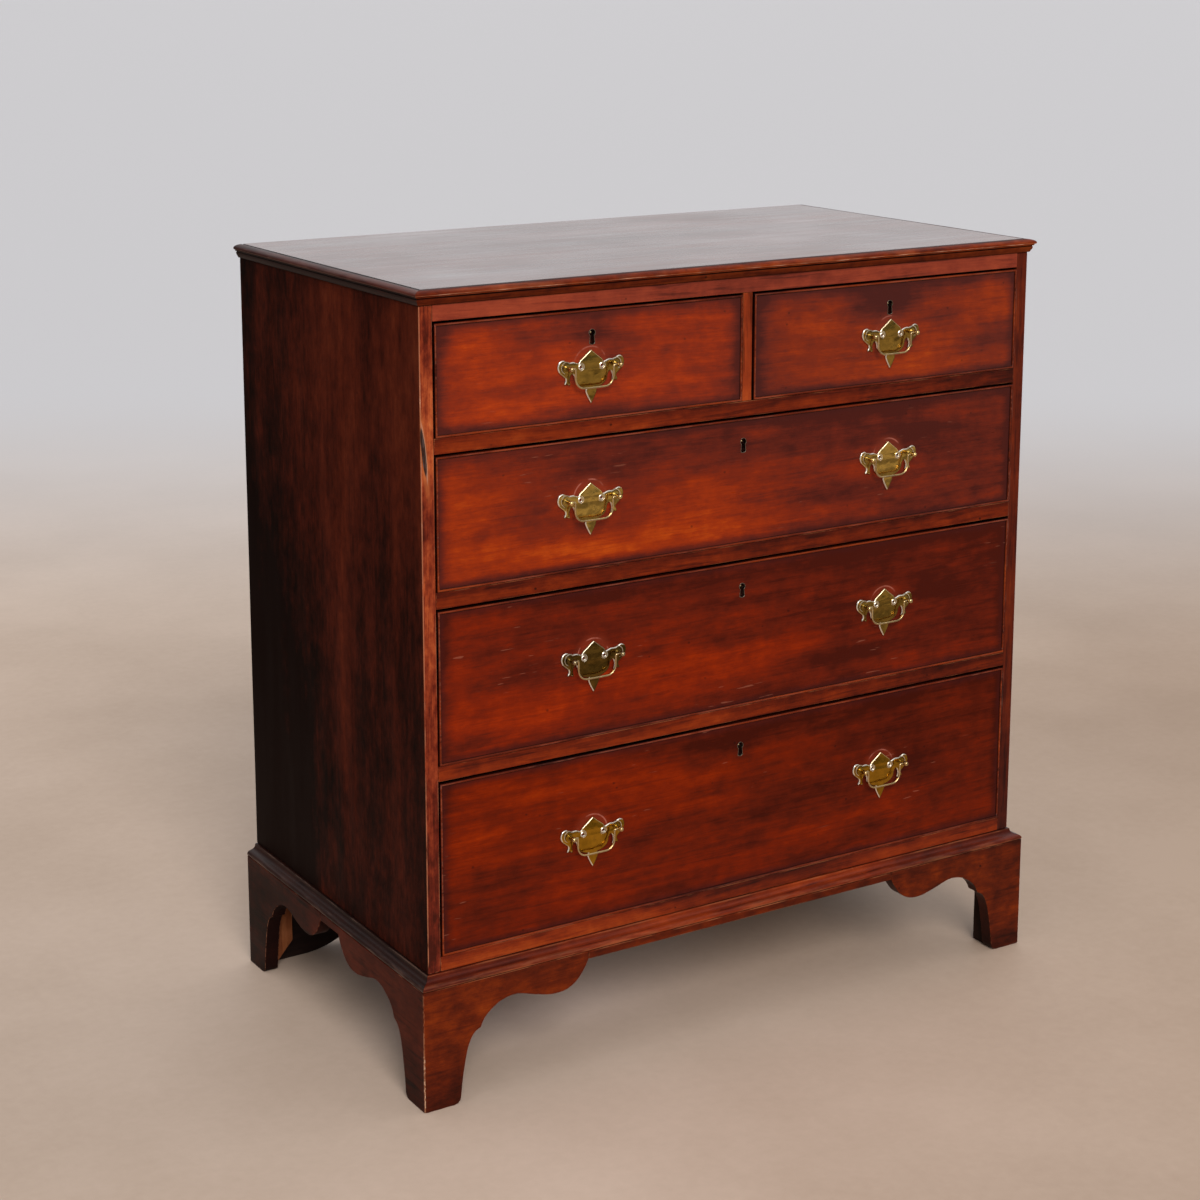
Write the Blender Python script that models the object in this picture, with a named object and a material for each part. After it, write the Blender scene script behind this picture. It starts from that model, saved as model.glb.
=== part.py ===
"""Chest of two short and three long drawers, on shaped bracket feet.

A mahogany case with cock-beaded drawer fronts, an applied thumb moulding
round the top, a moulded base frame and eight swinging brass bail handles.

Metres, +Z up.  X runs along the front, Y from front to back.  The origin is
on the floor, at the middle of the chest's outline.
"""
import bpy
import bmesh
from math import cos, sin, pi, radians
from mathutils import Matrix, Vector

# ------------------------------------------------------------------ sizes --
MM = 0.001
GAP = 0.3 * MM                 # clearance between pieces that touch

W = 930.0 * MM                 # width of the case, outside the two sides
D = 510.5 * MM                 # depth of the case
H = 1015.0 * MM                # height over the top
P = 15.3 * MM                  # how far the bracket feet stand proud
XL, XR = -W / 2, W / 2
OUT = 16.4 * MM                # how far the handles reach in front of it
YF = (OUT - D) / 2             # front face of the case
YB = YF + D                    # back face of the case

SIDE_T = 17.7 * MM             # case sides: their front edges are the stiles
Z_BRACKET = 157.5 * MM         # top of the brackets, underside of base frame
Z_CASE = 172.5 * MM            # top of the base frame, underside of the case
Z_CASE_TOP = 997.0 * MM        # top of the case sides, underside of the top
BACK_T = 10.0 * MM             # back panel, let into rebates
REBATE = 8.0 * MM              # how far the back panel laps over each side
DADO = 6.0 * MM                # depth of the housings in the sides
DADO_STOP = 26.0 * MM          # the housings stop this far from the front

# heights of the four tiers of drawer openings, lowest first
TIERS = [(191.5 * MM, 416.3 * MM), (435.3 * MM, 631.2 * MM),
         (651.7 * MM, 818.8 * MM), (838.2 * MM, 977.0 * MM)]
TOP_GAP = [3.3 * MM, 3.2 * MM, 2.7 * MM, 2.6 * MM]   # above each drawer
PART_X0, PART_X1 = XL + 459.0 * MM, XL + 473.0 * MM  # centre partition

RAIL_D = 62.0 * MM             # depth of the top rail
FRAME_W = 46.0 * MM            # width of the base frame's members
NOSE = 8.6 * MM                # overhang of the top's moulding
STRIP_IN = 4.0 * MM            # the strip laps this far inside the case line

BRACKET_T = 20.0 * MM          # thickness of the bracket boards
RAIL_LOW = 147.0 * MM          # underside of the strip between the brackets

FACE = YF + 0.5 * MM           # drawer faces, just inside the case front
BEAD_OUT = 1.8 * MM            # cock bead, proud of the drawer face
BEAD_T = 3.0 * MM              # thickness of the cock bead
FRONT_T = 19.5 * MM            # drawer front, without the bead
SIDE_D = 9.5 * MM              # drawer sides and backs
LAP = 5.6 * MM                 # wood left in front of the lap dovetails
BOX_END = YF + 479.0 * MM      # rear end of the drawer boxes
BOTTOM_T = 7.0 * MM            # drawer bottoms
BOTTOM_UP = 6.0 * MM           # the bottoms are grooved in this far up
GROOVE = 4.0 * MM

# handles
POST = 34.9 * MM               # half of the distance between the two posts
AXIS_OUT = 10.2 * MM           # the bail's axis, in front of the drawer face
BALL_R = 3.0 * MM
BALL_OUT = OUT + (FACE - YF) - BALL_R
PLATE_T = 1.7 * MM
BAIL_ARM = 27.0 * MM           # half of the distance between the arms
BAIL_DROP = 25.3 * MM
BAIL_R = 1.4 * MM
PIN_R = 1.15 * MM

# ------------------------------------------------------------- start clean --
for ob in list(bpy.data.objects):
    bpy.data.objects.remove(ob, do_unlink=True)


def collection(name):
    coll = bpy.data.collections.new(name)
    bpy.context.scene.collection.children.link(coll)
    return coll


PARTS = collection("chest_of_drawers")
CUTTERS = collection("cutters")


def material(name, rgb, rough, metal=0.0):
    mat = bpy.data.materials.new(name)
    mat.use_nodes = True
    bsdf = mat.node_tree.nodes["Principled BSDF"]
    bsdf.inputs["Base Color"].default_value = (*rgb, 1.0)
    bsdf.inputs["Roughness"].default_value = rough
    bsdf.inputs["Metallic"].default_value = metal
    mat.diffuse_color = (*rgb, 1.0)
    return mat


MAHOGANY = material("mahogany", (0.23, 0.045, 0.016), 0.32)
MAHOGANY_TOP = material("mahogany_top", (0.20, 0.055, 0.030), 0.28)
MAHOGANY_DARK = material("mahogany_dark", (0.075, 0.020, 0.011), 0.38)
OAK = material("drawer_lining_oak", (0.33, 0.20, 0.10), 0.65)
PINE = material("carcase_pine", (0.30, 0.17, 0.08), 0.75)
BRASS = material("aged_brass", (0.55, 0.40, 0.14), 0.30, 1.0)


# ---------------------------------------------------------------- helpers --
def add(name, mesh, mat, coll=None):
    ob = bpy.data.objects.new(name, mesh)
    (coll or PARTS).objects.link(ob)
    if mat is not None:
        mesh.materials.clear()
        mesh.materials.append(mat)
    return ob


def box_mesh(name, lo, hi, centre=(0, 0, 0)):
    """A box between two corners, as a mesh about the given centre."""
    bm = bmesh.new()
    bmesh.ops.create_cube(bm, size=1.0)
    lo, hi, c = Vector(lo), Vector(hi), Vector(centre)
    for v in bm.verts:
        v.co = Vector((lo[i] + (v.co[i] + 0.5) * (hi[i] - lo[i])
                       for i in range(3))) - c
    mesh = bpy.data.meshes.new(name)
    bm.to_mesh(mesh)
    bm.free()
    return mesh


def board(name, lo, hi, mat):
    """A plain board: its object sits at the board's middle."""
    mid = [(a + b) / 2 for a, b in zip(lo, hi)]
    ob = add(name, box_mesh(name, lo, hi, mid), mat)
    ob.location = mid
    return ob


def cutter_box(name, lo, hi):
    ob = add(name, box_mesh(name, lo, hi), None, CUTTERS)
    return hide(ob)


def hide(ob):
    ob.hide_render = True
    ob.display_type = "WIRE"
    return ob


PLANES = {
    # the outline's own x and y, and the way its thickness runs
    "XY": Matrix(((1, 0, 0, 0), (0, 1, 0, 0), (0, 0, 1, 0), (0, 0, 0, 1))),
    "XZ": Matrix(((1, 0, 0, 0), (0, 0, -1, 0), (0, 1, 0, 0), (0, 0, 0, 1))),
    "YZ": Matrix(((0, 0, 1, 0), (1, 0, 0, 0), (0, 1, 0, 0), (0, 0, 0, 1))),
}


def outline_mesh(name, points, plane, low, high):
    """A flat outline given thickness between two planes, as a welded mesh.

    points are in the named plane; low and high are along its normal axis.
    """
    curve = bpy.data.curves.new(name, "CURVE")
    curve.dimensions = "2D"
    curve.fill_mode = "BOTH"
    curve.extrude = abs(high - low) / 2
    loops = points if isinstance(points[0][0], (list, tuple)) else [points]
    for loop in loops:
        spline = curve.splines.new("POLY")
        spline.points.add(len(loop) - 1)
        for p, (a, b) in zip(spline.points, loop):
            p.co = (a, b, 0.0, 1.0)
        spline.use_cyclic_u = True
    ob = bpy.data.objects.new(name + "_curve", curve)
    bpy.context.scene.collection.objects.link(ob)
    mid = (low + high) / 2
    shift = {"XY": (0, 0, mid), "XZ": (0, mid, 0), "YZ": (mid, 0, 0)}[plane]
    ob.matrix_world = Matrix.Translation(shift) @ PLANES[plane]
    bpy.context.view_layer.update()
    world = ob.matrix_world.copy()
    deps = bpy.context.evaluated_depsgraph_get()
    mesh = bpy.data.meshes.new_from_object(ob.evaluated_get(deps))
    bpy.data.objects.remove(ob, do_unlink=True)
    mesh.transform(world)
    bm = bmesh.new()
    bm.from_mesh(mesh)
    bmesh.ops.remove_doubles(bm, verts=bm.verts, dist=1e-6)
    bmesh.ops.recalc_face_normals(bm, faces=bm.faces)
    bm.to_mesh(mesh)
    bm.free()
    mesh.name = name
    return mesh


def boolean(ob, cutter, operation="DIFFERENCE"):
    mod = ob.modifiers.new(operation.lower(), "BOOLEAN")
    mod.operation = operation
    mod.solver = "EXACT"
    mod.object = cutter
    return mod


def smooth_curve(points, steps=3):
    """Points along a smooth line through the given ones."""
    out = []
    n = len(points)
    for i in range(n - 1):
        p0 = points[max(i - 1, 0)]
        p1, p2 = points[i], points[i + 1]
        p3 = points[min(i + 2, n - 1)]
        for s in range(steps):
            t = s / steps
            out.append(tuple(
                0.5 * (2 * p1[k] + (p2[k] - p0[k]) * t
                       + (2 * p0[k] - 5 * p1[k] + 4 * p2[k] - p3[k]) * t * t
                       + (3 * p1[k] - p0[k] - 3 * p2[k] + p3[k]) * t ** 3)
                for k in range(2)))
    out.append(tuple(points[-1]))
    return out


def turned(name, profile, centre, segments=12):
    """A piece turned about a line along Y, from (radius, y) points."""
    bm = bmesh.new()
    verts = [bm.verts.new((r, y, 0.0)) for r, y in profile]
    edges = [bm.edges.new(pair) for pair in zip(verts, verts[1:])]
    bmesh.ops.spin(bm, geom=verts + edges, axis=(0, 1, 0), cent=(0, 0, 0),
                   angle=2 * pi, steps=segments)
    bmesh.ops.remove_doubles(bm, verts=bm.verts, dist=1e-6)
    bmesh.ops.recalc_face_normals(bm, faces=bm.faces)
    bmesh.ops.translate(bm, verts=bm.verts, vec=centre)
    mesh = bpy.data.meshes.new(name)
    bm.to_mesh(mesh)
    bm.free()
    return mesh


# ------------------------------------------------------------------- case --
def case_side(name, side):
    """A case side: rebated for the back and housed for the shelves."""
    x_out = XL if side < 0 else XR
    x_in = x_out - side * SIDE_T
    lo = (min(x_out, x_in), YF, Z_CASE + GAP)
    hi = (max(x_out, x_in), YB, Z_CASE_TOP - GAP)
    ob = board(name, lo, hi, MAHOGANY_DARK)
    xs = sorted((x_in + side * REBATE, x_in - side * 0.01))
    boolean(ob, cutter_box(name + "_rebate", (xs[0], YB - BACK_T - GAP,
                                              Z_CASE - 0.01),
                           (xs[1], YB + 0.01, Z_CASE_TOP + 0.01)))
    xs = sorted((x_in + side * DADO, x_in - side * 0.01))
    for i, (z0, z1) in enumerate(shelf_levels()[1:]):
        boolean(ob, cutter_box("%s_housing_%d" % (name, i + 1),
                               (xs[0], YF + DADO_STOP, z0 - GAP),
                               (xs[1], YB + 0.01, z1 + GAP)))
    return ob


def shelf_levels():
    """Bottom and top of the case bottom and of the three dividers."""
    levels = [(Z_CASE, TIERS[0][0])]
    for lower, upper in zip(TIERS, TIERS[1:]):
        levels.append((lower[1], upper[0]))
    return levels


def shelf(name, z0, z1, mat):
    """A full-depth divider: its faced front edge shows as the rail."""
    a = XL + SIDE_T + GAP
    b = a - DADO
    y0, y1, y2 = YF, YF + DADO_STOP + GAP, YB - BACK_T - 2 * GAP
    pts = [(a, y0), (-a, y0), (-a, y1), (-b, y1), (-b, y2), (b, y2),
           (b, y1), (a, y1)]
    return add(name, outline_mesh(name, pts, "XY", z0, z1), mat)


case_side("case_side_left", -1)
case_side("case_side_right", 1)

levels = shelf_levels()
bottom = board("case_bottom", (XL + SIDE_T + GAP, YF, levels[0][0] + GAP),
               (XR - SIDE_T - GAP, YB - BACK_T - 2 * GAP, levels[0][1]),
               MAHOGANY)
for label, (z0, z1) in zip(("lower", "middle", "upper"), levels[1:]):
    shelf("drawer_divider_" + label, z0, z1, MAHOGANY)

board("top_rail", (XL + SIDE_T + GAP, YF, TIERS[3][1]),
      (XR - SIDE_T - GAP, YF + RAIL_D, Z_CASE_TOP - GAP), MAHOGANY)

# centre partition: its front edge is the muntin between the short drawers
z0, z1 = TIERS[3][0] + GAP, TIERS[3][1] - GAP
pts = [(YF, z0), (YB - BACK_T - 2 * GAP, z0),
       (YB - BACK_T - 2 * GAP, Z_CASE_TOP - GAP),
       (YF + RAIL_D + GAP, Z_CASE_TOP - GAP), (YF + RAIL_D + GAP, z1),
       (YF, z1)]
add("centre_partition",
    outline_mesh("centre_partition", pts, "YZ", PART_X0, PART_X1), MAHOGANY)

# back panel: it runs down behind the base frame, between its side members
x, x_low = XL + SIDE_T - REBATE + GAP, XL + FRAME_W - P + GAP
pts = [(x_low, Z_BRACKET), (-x_low, Z_BRACKET), (-x_low, Z_CASE + GAP),
       (-x, Z_CASE + GAP), (-x, Z_CASE_TOP - GAP), (x, Z_CASE_TOP - GAP),
       (x, Z_CASE + GAP), (x_low, Z_CASE + GAP)]
add("back_panel", outline_mesh("back_panel", pts, "XZ", YB - BACK_T, YB),
    PINE)

# --------------------------------------------------------------------- top --
x = XL + STRIP_IN + GAP
board("top_board", (x, YF + STRIP_IN + GAP, Z_CASE_TOP), (-x, YB, H),
      MAHOGANY_TOP)


def moulding_run(name, profile, corners, mat):
    """A moulding swept round mitred corners.

    profile holds (projection, height) points; corners holds one function
    per section that puts such a point in the model.
    """
    bm = bmesh.new()
    rings = []
    for place in corners:
        rings.append([bm.verts.new(place(a, z)) for a, z in profile])
    n = len(profile)
    for r0, r1 in zip(rings, rings[1:]):
        for i in range(n):
            bm.faces.new((r0[i], r0[(i + 1) % n], r1[(i + 1) % n], r1[i]))
    bm.faces.new(list(reversed(rings[0])))
    bm.faces.new(rings[-1])
    bmesh.ops.recalc_face_normals(bm, faces=bm.faces)
    mesh = bpy.data.meshes.new(name)
    bm.to_mesh(mesh)
    bm.free()
    return add(name, mesh, mat)


def top_profile():
    """Thumb nose over a small cove, down to a fillet on the case."""
    z_nose, r = H - 6.2 * MM, 6.2 * MM
    pts = [(-STRIP_IN, Z_CASE_TOP), (-STRIP_IN, H), (NOSE - r, H)]
    for i in range(1, 6):
        t = radians(90 - 30 * i)
        pts.append((NOSE - r + r * cos(t), z_nose + r * sin(t)))
    pts += [(NOSE - 4.2 * MM, Z_CASE_TOP + 3.6 * MM),
            (NOSE - 5.6 * MM, Z_CASE_TOP + 2.2 * MM),
            (NOSE - 6.0 * MM, Z_CASE_TOP)]
    return pts


moulding_run(
    "top_moulding", top_profile(),
    [lambda a, z: (XL - a, YB, z), lambda a, z: (XL - a, YF - a, z),
     lambda a, z: (XR + a, YF - a, z), lambda a, z: (XR + a, YB, z)],
    MAHOGANY)


# -------------------------------------------------------------------- base --
def base_profile():
    """Fillet, cove sweeping out, and a lower fillet, on a flat frame."""
    z1, z0 = Z_CASE, Z_BRACKET
    a0, a1 = 2.6 * MM, P - 0.6 * MM
    pts = [(-FRAME_W + P, z0), (-FRAME_W + P, z1), (a0, z1),
           (a0, z1 - 2.4 * MM)]
    rx, rz = a1 - a0, (z1 - 2.4 * MM) - (z0 + 2.6 * MM)
    for i in range(1, 5):
        t = radians(90 * i / 4)
        pts.append((a0 + rx * (1 - cos(t)), z1 - 2.4 * MM - rz * sin(t)))
    pts.append((a1, z0))
    return pts


half = GAP / 2
moulding_run("base_moulding_front", base_profile(),
             [lambda a, z: (XL - a + half, YF - a, z),
              lambda a, z: (XR + a - half, YF - a, z)], MAHOGANY)
moulding_run("base_moulding_left", base_profile(),
             [lambda a, z: (XL - a, YB, z),
              lambda a, z: (XL - a, YF - a + half, z)], MAHOGANY_DARK)
moulding_run("base_moulding_right", base_profile(),
             [lambda a, z: (XR + a, YB, z),
              lambda a, z: (XR + a, YF - a + half, z)], MAHOGANY_DARK)


def bracket_curve():
    """Lower edge of a bracket: u runs along it from the outer corner."""
    foot = smooth_curve([(50.8, 8.0), (52.8, 26.0), (56.4, 48.0),
                         (61.6, 72.0), (69.5, 88.0), (79.6, 94.2)], 2)
    arch = smooth_curve([(79.6, 94.2), (85.5, 105.5), (97.0, 115.8),
                         (113.0, 123.6), (133.0, 125.4), (158.0, 118.2),
                         (182.0, 112.6), (203.0, 113.6), (219.0, 122.4),
                         (230.0, 136.0), (236.0, 147.0)], 2)
    return [(u * MM, z * MM) for u, z in foot[:-1] + arch]


def rear_curve():
    """Lower edge of the plain brackets that face the back."""
    line = smooth_curve([(80.0, 0.0), (100.0, 3.0), (123.0, 10.0),
                         (150.0, 24.0), (175.0, 48.0), (200.0, 85.0),
                         (222.0, 120.0), (236.0, 147.0)], 2)
    return [(u * MM, z * MM) for u, z in line]


def scallop(name, plane, place, end, low, high, line):
    """What is sawn away under a bracket, as far as the given end."""
    pts = [(line[0][0] - 0.8 * MM, -10 * MM)] + line
    if end > line[-1][0]:
        pts.append((end, RAIL_LOW))
    pts.append((pts[-1][0] + (0 if end > line[-1][0] else 20 * MM),
                pts[-1][1]))
    pts = pts[:-1] if pts[-1] == pts[-2] else pts
    pts.append((pts[-1][0], -10 * MM))
    return hide(add(name, outline_mesh(
        name, [(place(u), z) for u, z in pts], plane, low, high),
        None, CUTTERS))


def foot(name, sx, front):
    """One foot: two bracket boards mitred at the corner, and their block.

    Seen from above it is an L with the glued block in its inner corner;
    the shaped lower edges are then sawn out of its two arms.
    """
    x_out = XL - P if sx < 0 else XR + P
    y_out = YF - P if front else YB
    sy = 1 if front else -1
    arm, t, block = 236.0 * MM, BRACKET_T, 46.0 * MM
    span = D + P                     # between the side's two outer corners
    side_arm = span - arm - GAP if front else arm
    plan = [(0, 0), (arm, 0), (arm, t), (block, t), (block, block),
            (t, block), (t, side_arm), (0, side_arm)]
    pts = [(x_out - sx * u, y_out + sy * v) for u, v in plan]
    ob = add(name, outline_mesh(name, pts, "XY", 0.0, Z_BRACKET - GAP),
             MAHOGANY if front else MAHOGANY_DARK)
    ys = sorted((y_out - sy * 10 * MM, y_out + sy * (t + 20 * MM)))
    boolean(ob, scallop(name + "_face_scallop", "XZ",
                        lambda u: x_out - sx * u, 0, ys[0], ys[1],
                        bracket_curve() if front else rear_curve()))
    xs = sorted((x_out + sx * 10 * MM, x_out - sx * (t + 20 * MM)))
    boolean(ob, scallop(name + "_side_scallop", "YZ",
                        lambda u: y_out + sy * u,
                        side_arm + 10 * MM if front else 0, xs[0], xs[1],
                        bracket_curve()))
    return ob


foot("foot_front_left", -1, True)
foot("foot_front_right", 1, True)
foot("foot_rear_left", -1, False)
foot("foot_rear_right", 1, False)

x = XL - P + 236.0 * MM + GAP
board("base_rail_front", (x, YF - P, RAIL_LOW),
      (-x, YF - P + BRACKET_T, Z_BRACKET - GAP), MAHOGANY)


# ----------------------------------------------------------------- drawers --
def tails(z0, z1):
    """Centres and spacing of the dovetail tails between two heights."""
    count = max(2, round((z1 - z0) / (38.0 * MM)))
    pitch = (z1 - z0) / count
    return [z0 + (i + 0.5) * pitch for i in range(count)], pitch


def tail_half(pitch, reach, along):
    """Half height of a tail, this far along from its root."""
    return pitch / 2 - 5.0 * MM + 2.4 * MM * along / reach


def drawer(number, x0, x1, tier, keyhole_z, handles):
    """A drawer: beaded front, lap-dovetailed box and grooved bottom."""
    name = "drawer_%d" % number
    z_lo = TIERS[tier][0] + GAP
    z_hi = TIERS[tier][1] - TOP_GAP[tier]
    y_in = FACE + FRONT_T
    # sides, with lap tails into the front and through tails into the back
    reach = FRONT_T - LAP - GAP
    s_top = z_hi - 6.0 * MM
    centres, pitch = tails(z_lo, s_top)
    b_lo, b_hi = z_lo + BOTTOM_UP + BOTTOM_T + 0.6 * MM, s_top - 10.0 * MM
    rear, r_pitch = tails(b_lo, b_hi)
    y0, y1 = y_in + GAP, BOX_END - SIDE_D - GAP

    def side_points():
        pts = [(y0, z_lo)]
        pts += [(y1, z_lo), (y1, b_lo)]
        for c in rear:
            pts += [(y1, c - tail_half(r_pitch, SIDE_D, 0)),
                    (BOX_END, c - tail_half(r_pitch, SIDE_D, SIDE_D)),
                    (BOX_END, c + tail_half(r_pitch, SIDE_D, SIDE_D)),
                    (y1, c + tail_half(r_pitch, SIDE_D, 0))]
        pts += [(y1, s_top), (y0, s_top)]
        for c in reversed(centres):
            pts += [(y0, c + tail_half(pitch, reach, 0)),
                    (y0 - reach, c + tail_half(pitch, reach, reach)),
                    (y0 - reach, c - tail_half(pitch, reach, reach)),
                    (y0, c - tail_half(pitch, reach, 0))]
        return pts

    def socket(centre, spacing, root, length, way):
        """Outline of the socket that a tail fits, a little larger."""
        pts = []
        for s, k in ((1, -1), (1, 1), (-1, 1), (-1, -1)):
            along = length + GAP if k > 0 else -1.2 * MM
            h = tail_half(spacing, length, along) + GAP
            pts.append((root + way * along, centre + s * h))
        return pts

    for label, s, xo in (("left", 1, x0), ("right", -1, x1)):
        xs = sorted((xo, xo + s * SIDE_D))
        ob = add("%s_side_%s" % (name, label),
                 outline_mesh(name + "_side", side_points(), "YZ",
                              xs[0], xs[1]), OAK)
        gx = sorted((xo + s * (SIDE_D - GROOVE), xo + s * (SIDE_D + MM)))
        boolean(ob, cutter_box("%s_groove_%s" % (name, label),
                               (gx[0], y_in - MM * 0, z_lo + BOTTOM_UP - GAP),
                               (gx[1], BOX_END + MM,
                                z_lo + BOTTOM_UP + BOTTOM_T + GAP)))

    # front: a raised cock bead runs round the sunk face
    bm = bmesh.new()
    bmesh.ops.create_cube(bm, size=1.0)
    lo = Vector((x0, FACE - BEAD_OUT, z_lo))
    hi = Vector((x1, y_in, z_hi))
    mid = (lo + hi) / 2
    for v in bm.verts:
        v.co = Vector((v.co[i] * (hi[i] - lo[i]) for i in range(3)))
    bm.normal_update()
    face = [f for f in bm.faces if f.normal.y < -0.9]
    bmesh.ops.inset_region(bm, faces=face, thickness=BEAD_T, depth=0.0)
    bmesh.ops.inset_region(bm, faces=face, thickness=0.15 * MM,
                           depth=-BEAD_OUT)
    mesh = bpy.data.meshes.new(name + "_front")
    bm.to_mesh(mesh)
    bm.free()
    front = add(name + "_front", mesh, MAHOGANY)
    front.location = mid
    for label, s, xo in (("left", 1, x0), ("right", -1, x1)):
        xs = sorted((xo - s * MM, xo + s * (SIDE_D + GAP)))
        for i, c in enumerate(centres):
            cut = outline_mesh("%s_socket" % name,
                               socket(c, pitch, y0, reach, -1), "YZ",
                               xs[0], xs[1])
            boolean(front, hide(add("%s_socket_%s_%d" % (name, label, i + 1),
                                    cut, None, CUTTERS)))
    xs = (x0 + SIDE_D + GAP, x1 - SIDE_D - GAP)
    boolean(front, cutter_box(name + "_front_groove",
                              (xs[0], y_in - GROOVE - GAP,
                               z_lo + BOTTOM_UP - GAP),
                              (xs[1], y_in + MM,
                               z_lo + BOTTOM_UP + BOTTOM_T + GAP)))
    xk = (x0 + x1) / 2 if keyhole_z[0] is None else keyhole_z[0]
    boolean(front, keyhole_cutter(name, xk, keyhole_z[1]))

    # back, with the pins that the through tails of the sides pass between
    back = board(name + "_back",
                 (x0, BOX_END - SIDE_D, b_lo), (x1, BOX_END, b_hi), OAK)
    for label, s, xo in (("left", 1, x0), ("right", -1, x1)):
        xs = sorted((xo - s * MM, xo + s * (SIDE_D + GAP)))
        for i, c in enumerate(rear):
            cut = outline_mesh("%s_pin" % name,
                               socket(c, r_pitch, y1, SIDE_D + MM, 1),
                               "YZ", xs[0], xs[1])
            boolean(back, hide(add("%s_pin_%s_%d" % (name, label, i + 1),
                                   cut, None, CUTTERS)))

    # bottom, held in the grooves and running out under the back
    xa = x0 + SIDE_D - GROOVE + GAP
    xb = x0 + SIDE_D + 2 * GAP
    sx = x0 + x1
    ya, yb, yc = y_in - GROOVE, y_in + 2 * GAP, BOX_END
    pts = [(xb, ya), (sx - xb, ya), (sx - xb, yb), (sx - xa, yb),
           (sx - xa, yc), (xa, yc), (xa, yb), (xb, yb)]
    zb = z_lo + BOTTOM_UP
    add(name + "_bottom",
        outline_mesh(name + "_bottom", pts, "XY", zb, zb + BOTTOM_T), OAK)

    for label, hx, hz in handles:
        handle(name, label, hx, hz)


def keyhole_cutter(name, xk, zk):
    """Keyhole: a round head over a slot that widens a little downwards."""
    r, drop, foot_w = 4.2 * MM, 13.8 * MM, 3.6 * MM
    pts = []
    for i in range(9):
        t = radians(-50 + 280 * i / 8)
        pts.append((xk + r * cos(t), zk + r * sin(t)))
    pts += [(xk - foot_w, zk - drop), (xk + foot_w, zk - drop)]
    mesh = outline_mesh(name + "_keyhole", pts, "XZ", FACE - 4 * MM,
                        FACE + 4.0 * MM)
    return hide(add(name + "_keyhole", mesh, None, CUTTERS))


# ----------------------------------------------------------------- handles --
def plate_outline():
    """Backplate: pointed arch, scrolled ears on legs, and a pendant leaf."""
    arch = [(0.0, 19.8), (4.8, 16.2), (9.8, 12.2), (13.6, 9.2), (16.4, 6.6)]
    ear = smooth_curve([(17.6, 4.6), (20.6, 5.6), (24.6, 6.8), (30.4, 6.6),
                        (38.2, 9.8), (44.2, 7.4), (46.3, 1.2),
                        (44.2, -4.9), (39.7, -8.9), (35.9, -12.2)], 2)
    leg = [(35.6, -15.4), (36.9, -19.0), (33.0, -20.2), (28.4, -20.6),
           (29.2, -17.0), (29.4, -13.4), (27.7, -9.6), (25.9, -8.1)]
    body = smooth_curve([(24.6, -8.7), (22.6, -12.6), (18.4, -17.6),
                         (13.6, -20.8), (7.2, -22.9)], 2)
    leaf = [(7.7, -25.6), (7.5, -29.4), (5.7, -34.4), (3.0, -39.6),
            (0.0, -45.0)]
    right = [(a * MM, b * MM) for a, b in arch + ear + leg + body + leaf]
    left = [(-a, b) for a, b in reversed(right[1:-1])]
    return right + left


def post_profile():
    """Radius against distance in front of the plate's back."""
    root, neck = 1.0 * MM, AXIS_OUT - GAP
    pts = [(0.0, root), (4.1 * MM, root), (4.1 * MM, 2.4 * MM),
           (2.5 * MM, 3.4 * MM), (2.2 * MM, 5.6 * MM),
           (2.7 * MM, neck - 2.3 * MM), (2.7 * MM, neck + 1.7 * MM)]
    ball = BALL_OUT - GAP
    for angle in (-40, -10, 20, 50):
        t = radians(angle)
        pts.append((BALL_R * cos(t), ball + BALL_R * sin(t)))
    return pts + [(0.0, ball + BALL_R)]


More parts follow.
